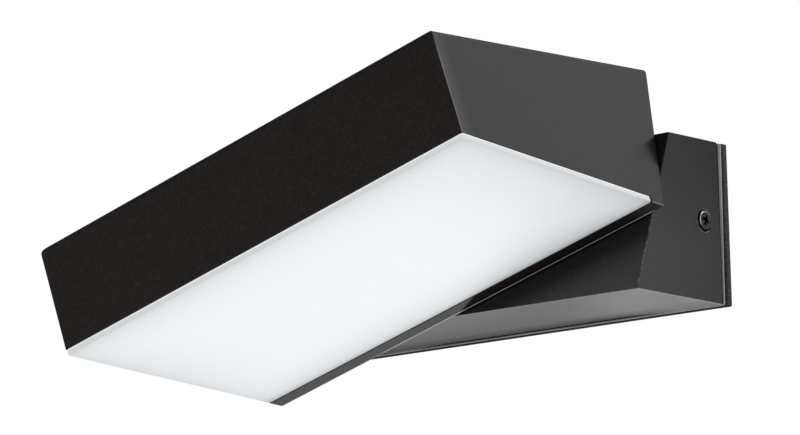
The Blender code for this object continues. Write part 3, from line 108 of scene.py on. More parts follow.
JOINT_PLACE = (0, -(DEPTH_TOP + DEPTH_BOTTOM) / 2, PLATE_TOP - FRONT_HEIGHT / 2)
WORLD = Matrix()
JOINT = at(*JOINT_PLACE) @ spin(-SLANT, "X")
HEAD = JOINT @ spin(-TURN, "Y")
HEAD_FLOOR = HEAD @ at(0, -FACE_GAP, -FRONT_FACE / 2) @ spin(LEAN, "X")


def placed(points, matrix):
    """Points of any grid carried by a 4 x 4 matrix: its turn times the point, plus its shift."""
    table = np.array(matrix)
    return points @ table[:3, :3].T + table[:3, 3]


# %% [markdown]
# ## Rings
#
# Every cast or moulded part is a stack of rounded rectangles. A ring has a half width across X, a front and a
# rear point in side view, and a corner radius. Its two points can lie at different heights, so it can lie in
# the sloping roof as well as in the flat underside. A stack that goes over the outside, round the rim and
# back up the inside is one closed skin with a real wall.

# %% A ring from two points in side view
CORNER_STEPS = 6
HALF, FRONT, REAR, RADIUS, DROP = 0, slice(1, 3), slice(3, 5), 5, 6


def ring(half, front, rear, radius, drop=0.0):
    """One row of a stack: half width, front and rear point (y, z), corner radius, share of the lip's drop."""
    return np.array([half, *front, *rear, radius, drop])


def ring_points(rows, stations=()):
    """Rounded rectangles in space, one for each row.

    In its own plane a ring is the rectangle from -half to half and from 0 at the rear point to the distance
    between the two points. Each corner is a quarter circle, its centre plus radius * (cos a, sin a). At the
    stations, places on the y axis, both ends get extra points, so that a step in the rim has edges there."""
    half, radius = rows[:, HALF, None], rows[:, RADIUS, None]
    run = rows[:, FRONT] - rows[:, REAR]
    length = np.linalg.norm(run, axis=1)[:, None]
    quarter = np.linspace(0, math.pi / 2, CORNER_STEPS + 1)[None]
    low, high = np.minimum(radius, length / 2), length - np.minimum(radius, length / 2)
    spots = np.array(stations).reshape(1, -1) - rows[:, REAR][:, :1]
    if len(stations):
        spots = spots / run[:, :1] * length
    left = np.clip(spots[:, ::-1], low, high)
    right = np.clip(spots, low, high)
    cosine, sine = radius * np.cos(quarter), radius * np.sin(quarter)
    inner = half - radius
    flat = half + 0 * left
    across = np.hstack([inner + cosine, -inner - sine, -flat, -inner - cosine, inner + sine, flat])
    along = np.hstack([high + sine, high + cosine, left, low - sine, low - cosine, right])
    side = rows[:, None, REAR] + (along / length)[:, :, None] * run[:, None]
    behind = side[..., 0] > -LIP
    height = side[..., 1] - rows[:, DROP, None] * BAND * behind
    return np.stack([across, side[..., 0], height], axis=-1)


def towards(key, other, radius):
    """A row moved by the radius towards another row, its half width as well as its two points."""
    moved = key.copy()
    moved[HALF] += np.clip(other[HALF] - key[HALF], -radius, radius)
    for part in (FRONT, REAR):
        gap = other[part] - key[part]
        distance = np.linalg.norm(gap)
        if distance > 0:
            moved[part] += gap / distance * min(radius, distance)
    return moved


def softened(keys, steps=4):
    """A stack whose corners are arcs, from keys that are a ring and its edge radius r.

    The path leaves the straight at A, one r before the key P, and meets the next straight at B. Between them
    it is P + (1 - sin a)(A - P) + (1 - cos a)(B - P), for a from 0 to a quarter turn."""
    angle = np.linspace(0, math.pi / 2, steps + 1)[:, None]
    rows = []
    for number, (key, radius) in enumerate(keys):
        if not radius:
            rows.append(key[None])
            continue
        start = towards(key, keys[number - 1][0], radius)
        end = towards(key, keys[(number + 1) % len(keys)][0], radius)
        rows.append(key + (1 - np.sin(angle)) * (start - key) + (1 - np.cos(angle)) * (end - key))
    return np.concatenate(rows)


# %% [markdown]
# ## From rings to a piece
#
# A grid of points becomes a mesh by joining each point to the next one in its ring and to the same one in the
# next ring. Points that fell together are merged, which also closes the poles of turned shapes. Booleans
# drill the bores afterwards, as in the real castings.

# %% Meshes from grids of points
MERGE = 0.002 * MM
JOIN, CUT = "UNION", "DIFFERENCE"


def grid_mesh(name, points, looped=False):
    """Joins point p of ring j to its neighbours p + 1 and j + 1, and closes both ends unless it is looped."""
    count, size = points.shape[:2]
    index = np.arange(count * size).reshape(count, size)
    first = index if looped else index[:-1]
    second = np.roll(index, -1, axis=0) if looped else index[1:]
    quads = np.stack([first, np.roll(first, -1, 1), np.roll(second, -1, 1), second], axis=-1)
    faces = quads.reshape(-1, 4).tolist()
    if not looped:
        faces += [index[0].tolist(), index[-1].tolist()]
    data = bpy.data.meshes.new(name)
    data.from_pydata(points.reshape(-1, 3), [], faces)
    build = bmesh.new()
    build.from_mesh(data)
    bmesh.ops.remove_doubles(build, verts=build.verts, dist=MERGE)
    bmesh.ops.dissolve_degenerate(build, edges=build.edges, dist=MERGE / 2)
    bmesh.ops.recalc_face_normals(build, faces=build.faces)
    build.to_mesh(data)
    build.free()
    return data


def in_metres(table):
    """A table of millimetres as an array."""
    return np.array(table) * MM


def new_object(name, data):
    piece = bpy.data.objects.new(name, data)
    bpy.context.scene.collection.objects.link(piece)
    return piece


def shape(name, points, matrix=WORLD, looped=False):
    """A grid of points in a frame as an object at the origin, its place in its mesh."""
    return new_object(name, grid_mesh(name, placed(points, matrix), looped))


def cast(name, keys, matrix=WORLD, looped=False, stations=()):
    """A piece from the keys of a stack."""
    return shape(name, ring_points(softened(keys), stations), matrix, looped)


def worked(piece, tool, operation):
    """Applies a Boolean with another object, which is then removed."""
    step = piece.modifiers.new(tool.name, "BOOLEAN")
    step.object, step.operation, step.solver = tool, operation, "EXACT"
    bpy.context.view_layer.update()
    result = piece.evaluated_get(bpy.context.evaluated_depsgraph_get())
    old, piece.data = piece.data, bpy.data.meshes.new_from_object(result)
    piece.data.name = piece.name
    piece.modifiers.clear()
    bpy.data.meshes.remove(old)
    bpy.data.objects.remove(tool)


def turned(outline, steps=64):
    """A surface turned round the Y axis: (radius, along) goes to (radius cos a, along, radius sin a)."""
    radius, along = np.array(outline, float).T
    angle = np.linspace(0, math.tau, steps, endpoint=False)[None]
    cosine, sine = radius[:, None] * np.cos(angle), radius[:, None] * np.sin(angle)
    return np.stack([cosine, along[:, None] + 0 * angle, sine], axis=-1)


def worked_rod(piece, operation, place, radius, start, end, steps=24):
    """Adds or cuts a round rod along the Y axis of a frame."""
    rod = turned([(0, start), (radius, start), (radius, end), (0, end)], steps)
    worked(piece, shape("rod", rod, place), operation)


def rounded_path(corners, radius, steps=4):
    """An outline whose inner corners are arcs, by the rule of the softened rings, in two dimensions."""
    corners = np.array(corners, float)
    angle = np.linspace(0, math.pi / 2, steps + 1)[:, None]
    rows = [corners[:1]]
    for before, key, after in zip(corners, corners[1:], corners[2:]):
        ends = []
        for other in (before, after):
            distance = np.linalg.norm(other - key)
            ends.append(min(radius, distance / 2) / distance * (other - key))
        rows.append(key + (1 - np.sin(angle)) * ends[0] + (1 - np.cos(angle)) * ends[1])
    return np.concatenate([*rows, corners[-1:]])


# %% [markdown]
# ## Finishes
#
# A material is a small recipe over Object coordinates, so that its grain keeps its real size. The helpers
# build its nodes: arithmetic, noise, ramps, blends of two colours, and bumps. Numbers that hold for the whole
# surface are set on the shader's own sockets.

# %% Helpers for materials
SHADER = "Principled BSDF"


def new_material(name, roughness, **sockets):
    """A material with one Principled shader, some of its sockets set, and its tree."""
    material = bpy.data.materials.new(name)
    material.use_nodes = True
    tree = material.node_tree
    for socket, value in {"Roughness": roughness, **sockets}.items():
        tree.nodes[SHADER].inputs[socket.replace("_", " ")].default_value = value
    return material, tree


def wire(tree, **sources):
    """Links outputs of other nodes to the shader's sockets."""
    for socket, source in sources.items():
        tree.links.new(source, tree.nodes[SHADER].inputs[socket.replace("_", " ")])


def node(tree, kind, links=None, values=None, **settings):
    """A shader node of a kind, such as Math, with its settings and its plain values and links by socket."""
    made = tree.nodes.new("ShaderNode" + kind)
    for key, value in settings.items():
        setattr(made, key, value)
    for socket, value in (values or {}).items():
        made.inputs[socket].default_value = value
    for socket, source in (links or {}).items():
        tree.links.new(source, made.inputs[socket])
    return made


def maths(tree, operation, *parts, kind="Math", output=0):
    """An operation on plain values and outputs of other nodes, in the order given."""
    links = {place: part for place, part in enumerate(parts) if isinstance(part, bpy.types.NodeSocket)}
    values = {place: part for place, part in enumerate(parts) if place not in links}
    return node(tree, kind, links, values, operation=operation).outputs[output]


def dot(tree, *vectors):
    return maths(tree, "DOT_PRODUCT", *vectors, kind="VectorMath", output="Value")


def product(tree, *parts):
    return reduce(lambda first, second: maths(tree, "MULTIPLY", first, second), parts)


def object_place(tree):
    return node(tree, "TexCoord").outputs["Object"]


def axes(tree, vector):
    """The three coordinates of a vector."""
    return node(tree, "SeparateXYZ", {0: vector}).outputs


def floor_axes(tree):
    """The point's three coordinates in the floor frame."""
    back = HEAD_FLOOR.inverted()
    values = {"Rotation": back.to_euler(), "Location": back.translation}
    return axes(tree, node(tree, "Mapping", {"Vector": object_place(tree)}, values).outputs[0])


def ramp(tree, value, start, stop, low=0, high=1):
    """Runs from low to high while a value runs from start to stop, and is level beyond them."""
    values = {"From Min": start, "From Max": stop, "To Min": low, "To Max": high}
    return node(tree, "MapRange", {"Value": value}, values).outputs["Result"]


def grain(tree, scale, detail=2.0, roughness=0.5, stretch=(1, 1, 1)):
    """Noise on Object coordinates with about scale blobs in a metre."""
    moved = node(tree, "Mapping", {"Vector": object_place(tree)}, {"Scale": stretch})
    values = {"Scale": scale, "Detail": detail, "Roughness": roughness}
    return node(tree, "TexNoise", {"Vector": moved.outputs[0]}, values).outputs["Fac"]


def mottle(tree, scale, low=0, high=1, start=0.3, stop=0.7, **settings):
    """Noise whose middle values, from start to stop, are spread from low to high."""
    return ramp(tree, grain(tree, scale, **settings), start, stop, low, high)


def facing(tree, direction, start, stop, low=0, high=1):
    """A ramp over how far the surface's own normal looks along a direction."""
    normal = node(tree, "TexCoord").outputs["Normal"]
    return ramp(tree, dot(tree, normal, direction), start, stop, low, high)


def blended(tree, share, first, second):
    """A colour between two colours, each a plain colour or another node's output."""
    mix = node(tree, "Mix", {"Factor": share}, data_type="RGBA")
    for socket, colour in ((mix.inputs["A"], first), (mix.inputs["B"], second)):
        if isinstance(colour, tuple):
            socket.default_value = (*colour, 1)
        else:
            tree.links.new(colour, socket)
    return mix.outputs["Result"]


def recoat(tree, share, colour):
    """Lays a share of a colour over the colour that the material has."""
    coat = tree.nodes[SHADER].inputs["Base Color"].links[0].from_socket
    wire(tree, Base_Color=blended(tree, share, coat, colour))


def roughen(tree, extra):
    """Adds to the roughness that the material has."""
    gloss = tree.nodes[SHADER].inputs["Roughness"].links[0].from_socket
    wire(tree, Roughness=maths(tree, "ADD", gloss, extra))


def bumped(tree, height, distance, **below):
    """A bump of so many metres, on top of another one given as Normal."""
    links = {"Height": height, **below}
    return node(tree, "Bump", links, {"Distance": distance, "Strength": 1.0}).outputs["Normal"]


# %% [markdown]
# ### Paint on cast aluminium
#
# Both housings have a dark satin powder coat with a very fine orange peel, pale specks, slow changes of tone,
# and a slightly brighter line where it thins over an edge. The Bevel node finds the edges: its rounded normal
# differs from the true one only there. Faces that look up are matt.

# %% Painted metal
HOUSING_COLOUR = (0.0115, 0.0102, 0.0096)
WORN_EDGE = (0.05, 0.048, 0.047)
# The colour laid over the housings' paint where highlights and light are painted
PAINTED_LIGHT = (0.80, 0.78, 0.76)
MATT = 0.75
DARKER, LIGHTER, SPECK = 0.84, 1.1, 5.5
DOWN = (0, 0, -1)
HEAD_UP = HEAD_FLOOR.to_3x3() @ Vector((0, 0, 1))


def edge_share(tree, width, reach):
    """0 on a flat face and towards 1 on an edge, from how far the rounded normal leans from the true one."""
    rounded = node(tree, "Bevel", values={"Radius": width}, samples=6).outputs["Normal"]
    true = node(tree, "NewGeometry").outputs["True Normal"]
    return ramp(tree, dot(tree, rounded, true), reach, 0.995, 1, 0)


def paint_finish(name, colour, worn, roughness, peel, speckle=0.4, up=(0, 0, 1), added_below=0.0):
    """Satin powder coat: tone, specks, worn edges, a gloss that depends on where it looks, two bumps."""
    material, tree = new_material(name, roughness)
    darker, lighter, speck = (tuple(tint * value for value in colour) for tint in (DARKER, LIGHTER, SPECK))
    body = blended(tree, mottle(tree, 30, detail=4, roughness=0.6), darker, lighter)
    specks = mottle(tree, 750, 0, speckle, 0.45, 0.75, detail=3, roughness=0.7)
    body = blended(tree, specks, body, speck)
    body = blended(tree, edge_share(tree, 0.45 * MM, 0.75), body, worn)
    skin = bumped(tree, grain(tree, 1500), peel)
    skin = bumped(tree, mottle(tree, 900, detail=1), peel / 2, Normal=skin)
    gloss = mottle(tree, 60, roughness - 0.015, roughness + 0.015, detail=4)
    wire(tree, Base_Color=body, Roughness=gloss, Normal=skin)
    roughen(tree, facing(tree, up, 0.2, 0.6, 0, MATT - roughness))
    roughen(tree, facing(tree, up, -0.9, -0.5, added_below, 0))
    return material


# %% [markdown]
# ### Painted highlights and shade
#
# On the head, painted highlights run as light lines on the right front edge, at the lip's right end and along
# its rear edge; painted shade darkens the lip where it meets the diffuser. On the base, painted highlights
# run along the lower borders, dotted at the right corner. The base's underside has a mottled painted light in
# front and is matt near the wall, and its right end has a little painted light low down. Each place is a
# product of ramps over the point's coordinates.

# %% Painted highlights and shade of the head and the base
def head_painted_highlights_and_shade(tree):
    """Painted highlights on the right front edge, the lip's end and rear edge; painted shade by the diffuser.
    """
    x, y, z = floor_axes(tree)
    # Painted highlights: faint light lines on the right end near its front edge and at the lip's end
    end = ramp(tree, x, HEAD_HALF - 0.25 * MM, HEAD_HALF - 0.08 * MM)
    recoat(tree, product(tree, end, ramp(tree, y, -FLOOR, -FLOOR + 9 * MM, 0.09, 0)), PAINTED_LIGHT)
    front_edge = ramp(tree, y, -FLOOR + 0.15 * MM, -FLOOR + 0.4 * MM, 0.75, 0)
    front_edge = product(tree, front_edge, ramp(tree, z, 36 * MM, 44 * MM, 1, 0))
    lip_end = ramp(tree, z, 0.2 * MM, 0.5 * MM, 0.5, 0)
    lip_end = product(tree, lip_end, ramp(tree, y, -LIP - 0.5 * MM, -LIP + 0.5 * MM))
    recoat(tree, product(tree, end, maths(tree, "ADD", front_edge, lip_end)), PAINTED_LIGHT)
    # Painted shade: the lip is darkened, and made rougher, along the seam at the diffuser
    lip_face = ramp(tree, z, 0.2 * MM, 0.4 * MM, 1, 0)
    seam = ramp(tree, y, -LIP + 0.3 * MM, -LIP + 0.6 * MM, 0.7, 0)
    corner = ramp(tree, x, 86 * MM, 90 * MM, 0, 0.5)
    roughen(tree, product(tree, lip_face, maths(tree, "MAXIMUM", seam, corner)))
    recoat(tree, product(tree, lip_face, seam), (0.001, 0.001, 0.001))
    # Painted highlight: a light line along the lip's rear edge, over most of its length
    rear_edge = product(tree, ramp(tree, y, -1.15 * MM, -0.8 * MM), ramp(tree, z, 0.3 * MM, 0.5 * MM, 1, 0))
    length = product(tree, ramp(tree, x, -55 * MM, -40 * MM), ramp(tree, x, 92 * MM, 96 * MM, 1, 0))
    recoat(tree, product(tree, rear_edge, length), PAINTED_LIGHT)


def base_painted_light_and_gloss(tree):
    """Painted highlights on lower edges, dotted at the right corner; uneven gloss by the wall; painted light
    below.
    """
    x, y, z = axes(tree, object_place(tree))
    # Painted highlights: light lines along the lower edges, dotted near the right corner, and along the
    # bottom right edge
    border = product(tree, facing(tree, DOWN, 0.1, 0.35), edge_share(tree, 0.8 * MM, 0.9))
    recoat(tree, border, PAINTED_LIGHT)
    dotted_highlight = mottle(tree, 420, start=0.43, stop=0.52, detail=3, roughness=0.8)
    corner = ramp(tree, x, BASE_HALF - 0.8 * MM, BASE_HALF - 0.4 * MM)
    corner = product(tree, corner, ramp(tree, z, -4 * MM, 2 * MM, 1, 0), edge_share(tree, 0.6 * MM, 0.9))
    hem = ramp(tree, x, BASE_HALF - 0.45 * MM, BASE_HALF - 0.25 * MM, 0, 0.6)
    hem = product(tree, hem, facing(tree, DOWN, 0.25, 0.5))
    recoat(tree, maths(tree, "MAXIMUM", product(tree, corner, dotted_highlight), hem), PAINTED_LIGHT)
    below = facing(tree, DOWN, 0.7, 0.95)
    aside = facing(tree, (1, 0, 0), 0.7, 0.95)
    fading = ramp(tree, x, 38 * MM, 80 * MM, 0.35, 0.08)
    roughen(tree, product(tree, below, ramp(tree, y, -24 * MM, -7 * MM), fading))
    roughen(tree, product(tree, aside, ramp(tree, y, -55 * MM, -7 * MM, 0, 0.3)))
    # Painted light: the underside is paler in front and to the left, mottled, and the right end is paler low
    # down
    forward = ramp(tree, y, -62 * MM, -24 * MM, 0.15, 0.015)
    leftward = ramp(tree, x, -40 * MM, 50 * MM, 2.2, 0.9)
    light_mottle = mottle(tree, 1000, 0.6, 1.4, 0.35, 0.65, detail=3, roughness=0.7)
    low_side = product(tree, aside, ramp(tree, z, -12 * MM, 22 * MM, 0.04, 0))
    pale = maths(tree, "ADD", product(tree, below, forward, leftward, light_mottle), low_side)
    recoat(tree, pale, PAINTED_LIGHT)


PEEL = 0.006 * MM
paint = paint_finish("housing_paint", HOUSING_COLOUR, WORN_EDGE, 0.3, PEEL)
base_painted_light_and_gloss(paint.node_tree)
head_paint = paint_finish("head_paint", HOUSING_COLOUR, WORN_EDGE, 0.3, PEEL, 0.5, HEAD_UP, -0.14)
head_painted_highlights_and_shade(head_paint.node_tree)
plate_paint = paint_finish("plate_paint", (0.065, 0.062, 0.063), (0.05, 0.05, 0.05), 0.6, 0.008 * MM)
tree = plate_paint.node_tree
tree.nodes[SHADER].inputs["Specular IOR Level"].default_value = 0.12
# Painted shade: the plate's underside is coloured nearly black
painted_underside_shade = ramp(tree, axes(tree, object_place(tree))["Z"], -33.95 * MM, -33.6 * MM, 1, 0)
recoat(tree, painted_underside_shade, (0.002, 0.002, 0.002))

# %% [markdown]
# ### The opal diffuser
#
# The diffuser is satin white polycarbonate, and a little subsurface scattering softens its edges. The lamps
# behind it are on. Its glow dims towards its edges, most of all beside the lip, and a little to the right;
# its colour dims with it, as painted shade, and beside the lip and on the right also as a painted reflection
# of the dark base. Light that travels along the sheet leaves its sides as a faint glow.

# %% Opal plastic
UNDER_MIDDLE = (0, -(FLOOR + LIP) / 2)
UNDER_HALF = (HEAD_HALF, (FLOOR - LIP) / 2)
DIM_STOPS = ((0.0, 0.71), (0.05, 0.82), (0.2, 0.91), (0.5, 0.97), (1.0, 1.0))
DIM_REACH = 45 * MM
LIP_STOPS = ((0.0, 0.60), (0.05, 0.68), (0.12, 0.84), (0.22, 0.92), (0.5, 0.96), (1.0, 1.0))
LIP_REACH = 26 * MM
RIGHT_DIM = 0.945
FACE_GLOW, FRONT_GLOW, END_GLOW, RIM_GLOW = 0.485, 0.385, 0.29, 0.35


def underside_margin(tree, own):
    """Distance to the nearest edge of the underside, rounded off where two edges are equally near."""
    margins = []
    for value, middle, half in zip(own, UNDER_MIDDLE, UNDER_HALF):
        away = maths(tree, "ABSOLUTE", maths(tree, "SUBTRACT", value, middle))
        margins.append(maths(tree, "SUBTRACT", half, away))
    return maths(tree, "SMOOTH_MIN", *margins, 12 * MM)


def eased(tree, share, stops):
    """A grey ramp through (place, value) stops, eased between them."""
    made = node(tree, "ValToRGB", {0: share})
    made.color_ramp.interpolation = "B_SPLINE"
    bar = made.color_ramp.elements
    for index, (place, value) in enumerate(stops):
        stop = bar[index] if index < 1 else bar.new(place)
        stop.position, stop.color = place, (value, value, value, 1)
    bar.remove(bar[-1])
    return made.outputs["Color"]


scatter = {"Subsurface_Weight": 0.12, "Subsurface_Scale": 0.8 * MM, "Subsurface_Radius": (1.0, 1.0, 1.0)}
opal, tree = new_material("opal", 0.32, Emission_Color=(0.93, 0.975, 1.0, 1), **scatter)
x, y, z = own = floor_axes(tree)
from_edge = eased(tree, ramp(tree, underside_margin(tree, own), 0, DIM_REACH), DIM_STOPS)
from_lip = eased(tree, ramp(tree, y, -LIP, -LIP - LIP_REACH), LIP_STOPS)
shade = product(tree, from_edge, from_lip, ramp(tree, x, 30 * MM, 88 * MM, 1, RIGHT_DIM))
milk = blended(tree, mottle(tree, 14), (0.87, 0.90, 0.915), (0.855, 0.885, 0.90))
# Painted shade: the base colour is darkened by the same shade as the glow, beside the lip and on the right
# also as a painted reflection of the dark base
dimmed = node(tree, "Mix", {"A": milk}, {"Factor": 1.0}, data_type="RGBA", blend_type="MULTIPLY")
tree.links.new(shade, dimmed.inputs["B"])
side = ramp(tree, z, 0.15 * MM, 0.35 * MM)
rim_glow = ramp(tree, z, 1.85 * MM, 2.1 * MM, 0, RIM_GLOW)
front_glow = ramp(tree, y, -FLOOR + 0.3 * MM, -FLOOR + 2 * MM, FRONT_GLOW, END_GLOW)
glows = {"Factor": side, "A": product(tree, shade, FACE_GLOW), "B": maths(tree, "ADD", rim_glow, front_glow)}
wire(
    tree,
    Base_Color=blended(tree, side, dimmed.outputs["Result"], milk),
    Emission_Strength=node(tree, "Mix", glows).outputs["Result"],
    Roughness=mottle(tree, 45, 0.28, 0.36),
    Normal=bumped(tree, grain(tree, 2500), 0.002 * MM),
)

# %% [markdown]
# ### Silicone
#
# The gasket and the seals are silicone, glossy where squeezed. A painted highlight runs down the gasket's
# bead, a little slanted, and painted shade darkens the grooves beside the bead and part of its underside.

# %% Silicone
def silicone_finish(name, colour, pale, roughness):
    """Soft plastic with streaks along X and Z, where it was drawn from its die."""
    material, tree = new_material(name, roughness, Subsurface_Weight=0.15, Subsurface_Scale=0.8 * MM)
    wire(
        tree,
        Base_Color=blended(tree, mottle(tree, 260, stretch=(0.12, 1, 0.12), detail=3), colour, pale),
        Roughness=mottle(tree, 300, roughness - 0.06, roughness + 0.1),
        Normal=bumped(tree, grain(tree, 500, detail=3), 0.03 * MM),
    )
    return material


seal_silicone = silicone_finish("seal_silicone", (0.5, 0.52, 0.52), (0.6, 0.62, 0.62), 0.4)
gasket_silicone = silicone_finish("gasket_silicone", (0.24, 0.29, 0.32), (0.50, 0.56, 0.58), 0.16)
tree = gasket_silicone.node_tree
x, y, z = axes(tree, object_place(tree))
# Painted highlight: a light line down the bead, nearer to the wall at the top
bright_at = ramp(tree, z, -PLATE_TOP, PLATE_TOP, -5.0 * MM, -3.95 * MM)
off = maths(tree, "SUBTRACT", y, bright_at)
recoat(tree, ramp(tree, maths(tree, "ABSOLUTE", off), 0.15 * MM, 0.6 * MM, 0.9, 0), (0.95, 0.97, 0.98))
# Painted shade: the side by the housing, the lower half beyond the highlight and the underside towards the
# wall
flank = ramp(tree, y, -5.95 * MM, -5.7 * MM, 1, 0)
low_groove = product(tree, ramp(tree, z, -22 * MM, -2 * MM, 1, 0), ramp(tree, off, 0.5 * MM, 0.7 * MM))
underside = product(tree, facing(tree, DOWN, 0.3, 0.7), ramp(tree, y, -5.3 * MM, -5.1 * MM))
shaded = maths(tree, "MAXIMUM", maths(tree, "MAXIMUM", flank, low_groove), underside)
recoat(tree, shaded, (0.012, 0.014, 0.015))


# %% [markdown]
# ### Screws, brass, sheet and rubber
#
# The rest is inside or small: plated and blackened steel, brass, rolled aluminium sheet, moulded plastic, the
# LED board with its yellow lamps, wire insulation and rubber. The blackened side screws have a painted
# highlight on the upper front of their rims.

# %% Metals
def metal_finish(name, colour, other, roughness, scale, stretch=(1, 1, 1)):
    """Bare or plated metal: two tones, uneven gloss and fine scratches along the stretched axes."""
    material, tree = new_material(name, roughness, Metallic=1.0)
    lines = grain(tree, scale, detail=3, stretch=stretch)
    wire(
        tree,
        Base_Color=blended(tree, ramp(tree, lines, 0.3, 0.7), colour, other),
        Roughness=mottle(tree, 400, roughness - 0.08, roughness + 0.1, detail=3),
        Normal=bumped(tree, lines, 0.003 * MM),
    )
    return material


black_steel = metal_finish("black_steel", (0.03, 0.03, 0.031), (0.09, 0.09, 0.092), 0.2, 1800)
zinc = metal_finish("zinc_plate", (0.50, 0.51, 0.50), (0.62, 0.62, 0.58), 0.32, 1200)
brass = metal_finish("brass", (0.60, 0.42, 0.16), (0.72, 0.53, 0.24), 0.3, 900)
sheet_metal = metal_finish("sheet_aluminium", (0.66, 0.67, 0.68), (0.76, 0.77, 0.78), 0.36, 700, (0.05, 1, 1))
# Painted highlight: a light arc on the upper front of each side screw's rim
tree = black_steel.node_tree
x = axes(tree, object_place(tree))["X"]
from_axis = {"Location": (0, SCREW_DEPTH, 0), "Scale": (0, 1, 1)}
place = node(tree, "Mapping", {0: object_place(tree)}, from_axis).outputs[0]
reach = node(tree, "VectorMath", {0: place}, operation="LENGTH").outputs["Value"]
rim = ramp(tree, reach, 3.35 * MM, 3.55 * MM)
upper_front = ramp(tree, dot(tree, place, (0, -0.7, 0.7)), 0, 2.5 * MM, 0.05, 1)
outward = ramp(tree, maths(tree, "ABSOLUTE", x), BASE_HALF + 0.28 * MM, BASE_HALF + 0.42 * MM)
recoat(tree, product(tree, rim, upper_front, outward), (0.85, 0.85, 0.84))

# %% Plastics, rubber and the board
PLASTICS = {
    "rubber": ((0.016, 0.016, 0.016), 0.62, 0.02 * MM),
    "white_plastic": ((0.78, 0.78, 0.75), 0.42),
    "bush_plastic": ((0.70, 0.68, 0.62), 0.4),
    "driver_case": ((0.085, 0.085, 0.095), 0.5, 0.03 * MM),
    "brown_insulation": ((0.13, 0.05, 0.015), 0.38),
    "blue_insulation": ((0.02, 0.10, 0.42), 0.38),
    "green_insulation": ((0.12, 0.36, 0.03), 0.38),
    "black_sheath": ((0.022, 0.022, 0.022), 0.48),
}


def plastic_finish(name, colour, roughness, depth=0.01 * MM):
    """A moulded plastic or rubber: a fine moulded grain and a slow change of tone."""
    material, tree = new_material(name, roughness)
    darker, lighter = (tuple(tint * value for value in colour) for tint in (0.92, 1.08))
    wire(
        tree,
        Base_Color=blended(tree, mottle(tree, 70, detail=3), darker, lighter),
        Roughness=mottle(tree, 150, roughness - 0.05, roughness + 0.07),
        Normal=bumped(tree, grain(tree, 1100), depth),
    )
    return material


def board_finish():
    """White lacquer, with yellow phosphor on the lamps: the faces that stand lowest in the head's frame."""
    material, tree = new_material("led_board", 0.35)
    lacquer = blended(tree, mottle(tree, 120), (0.76, 0.79, 0.77), (0.84, 0.86, 0.84))
    lamp = ramp(tree, floor_axes(tree)["Z"], 13.7 * MM, 13.9 * MM, 1, 0)
    body = blended(tree, lamp, lacquer, (0.82, 0.62, 0.10))
    wire(tree, Base_Color=body, Normal=bumped(tree, grain(tree, 1500), 0.006 * MM))
    return material


plastics = {name: plastic_finish(name, *values) for name, values in PLASTICS.items()}
board = board_finish()

# %% [markdown]
# ## Finishing a piece
#
# A finished piece is smooth except at its hard corners. The Weighted Normal modifier lets each large flat
# face rule the shading of its neighbours, so that only the narrow rounded edges catch the light.

# %% Finish, ride and replace
HARD_ANGLE = math.radians(40)


def finished(piece, material, body, slot, *nodes):
    """Gives a piece its material, its smooth shading and its body, and hides the solids that it stands for.
    """
    piece.data.materials.clear()
    piece.data.materials.append(material)
    piece.data.polygons.foreach_set("use_smooth", np.ones(len(piece.data.polygons), bool))
    piece.data.set_sharp_from_angle(angle=HARD_ANGLE)
    weighted = piece.modifiers.new("flat_faces_rule", "WEIGHTED_NORMAL")
    weighted.keep_sharp = True
    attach(piece, body)
    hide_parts(*nodes)
    print(piece.name, len(piece.data.polygons), "faces")


# %% [markdown]
# ## The head housing
#
# The head is one aluminium casting: a hollow wedge, open below, with its back square on the base's front. Its
# roof runs over every edge in a soft 2.4 mm round. Behind the diffuser a lip hangs 2.5 mm lower than the rest
# of the rim. Ten rings go over the roof, down the walls, round the rim and up the inside.

# %% Rings of the head housing
BACK_FACE = FRONT_FACE + HEAD_RISE
ROOF_SLOPE = (BACK_FACE * math.cos(LEAN) - NOSE) / (FLOOR + BACK_FACE * math.sin(LEAN))
ROOF_BACK = (BACK_FACE * math.sin(LEAN), BACK_FACE * math.cos(LEAN))
EDGE = 0.45 * MM
RIM_EDGE = 0.25 * MM
TOP_EDGE = 2.4 * MM
CROWN = 6 * MM
LIP_STEP = 0.01 * MM


def roof(y):
    """Height of the roof over the underside: a straight line from the nose up to the back."""
    return NOSE + ROOF_SLOPE * (y + FLOOR)


def back_at(z, depth=0.0):
    """Place of the leaning back face at a height, and of the back wall's inner face at that depth."""
    return z * math.tan(LEAN) - depth / math.cos(LEAN)


def level(half, front, rear, height, radius, drop=0.0):
    """A ring at one height, between a front and a rear place."""
    return ring(half, (front, height), (rear, height), radius, drop)


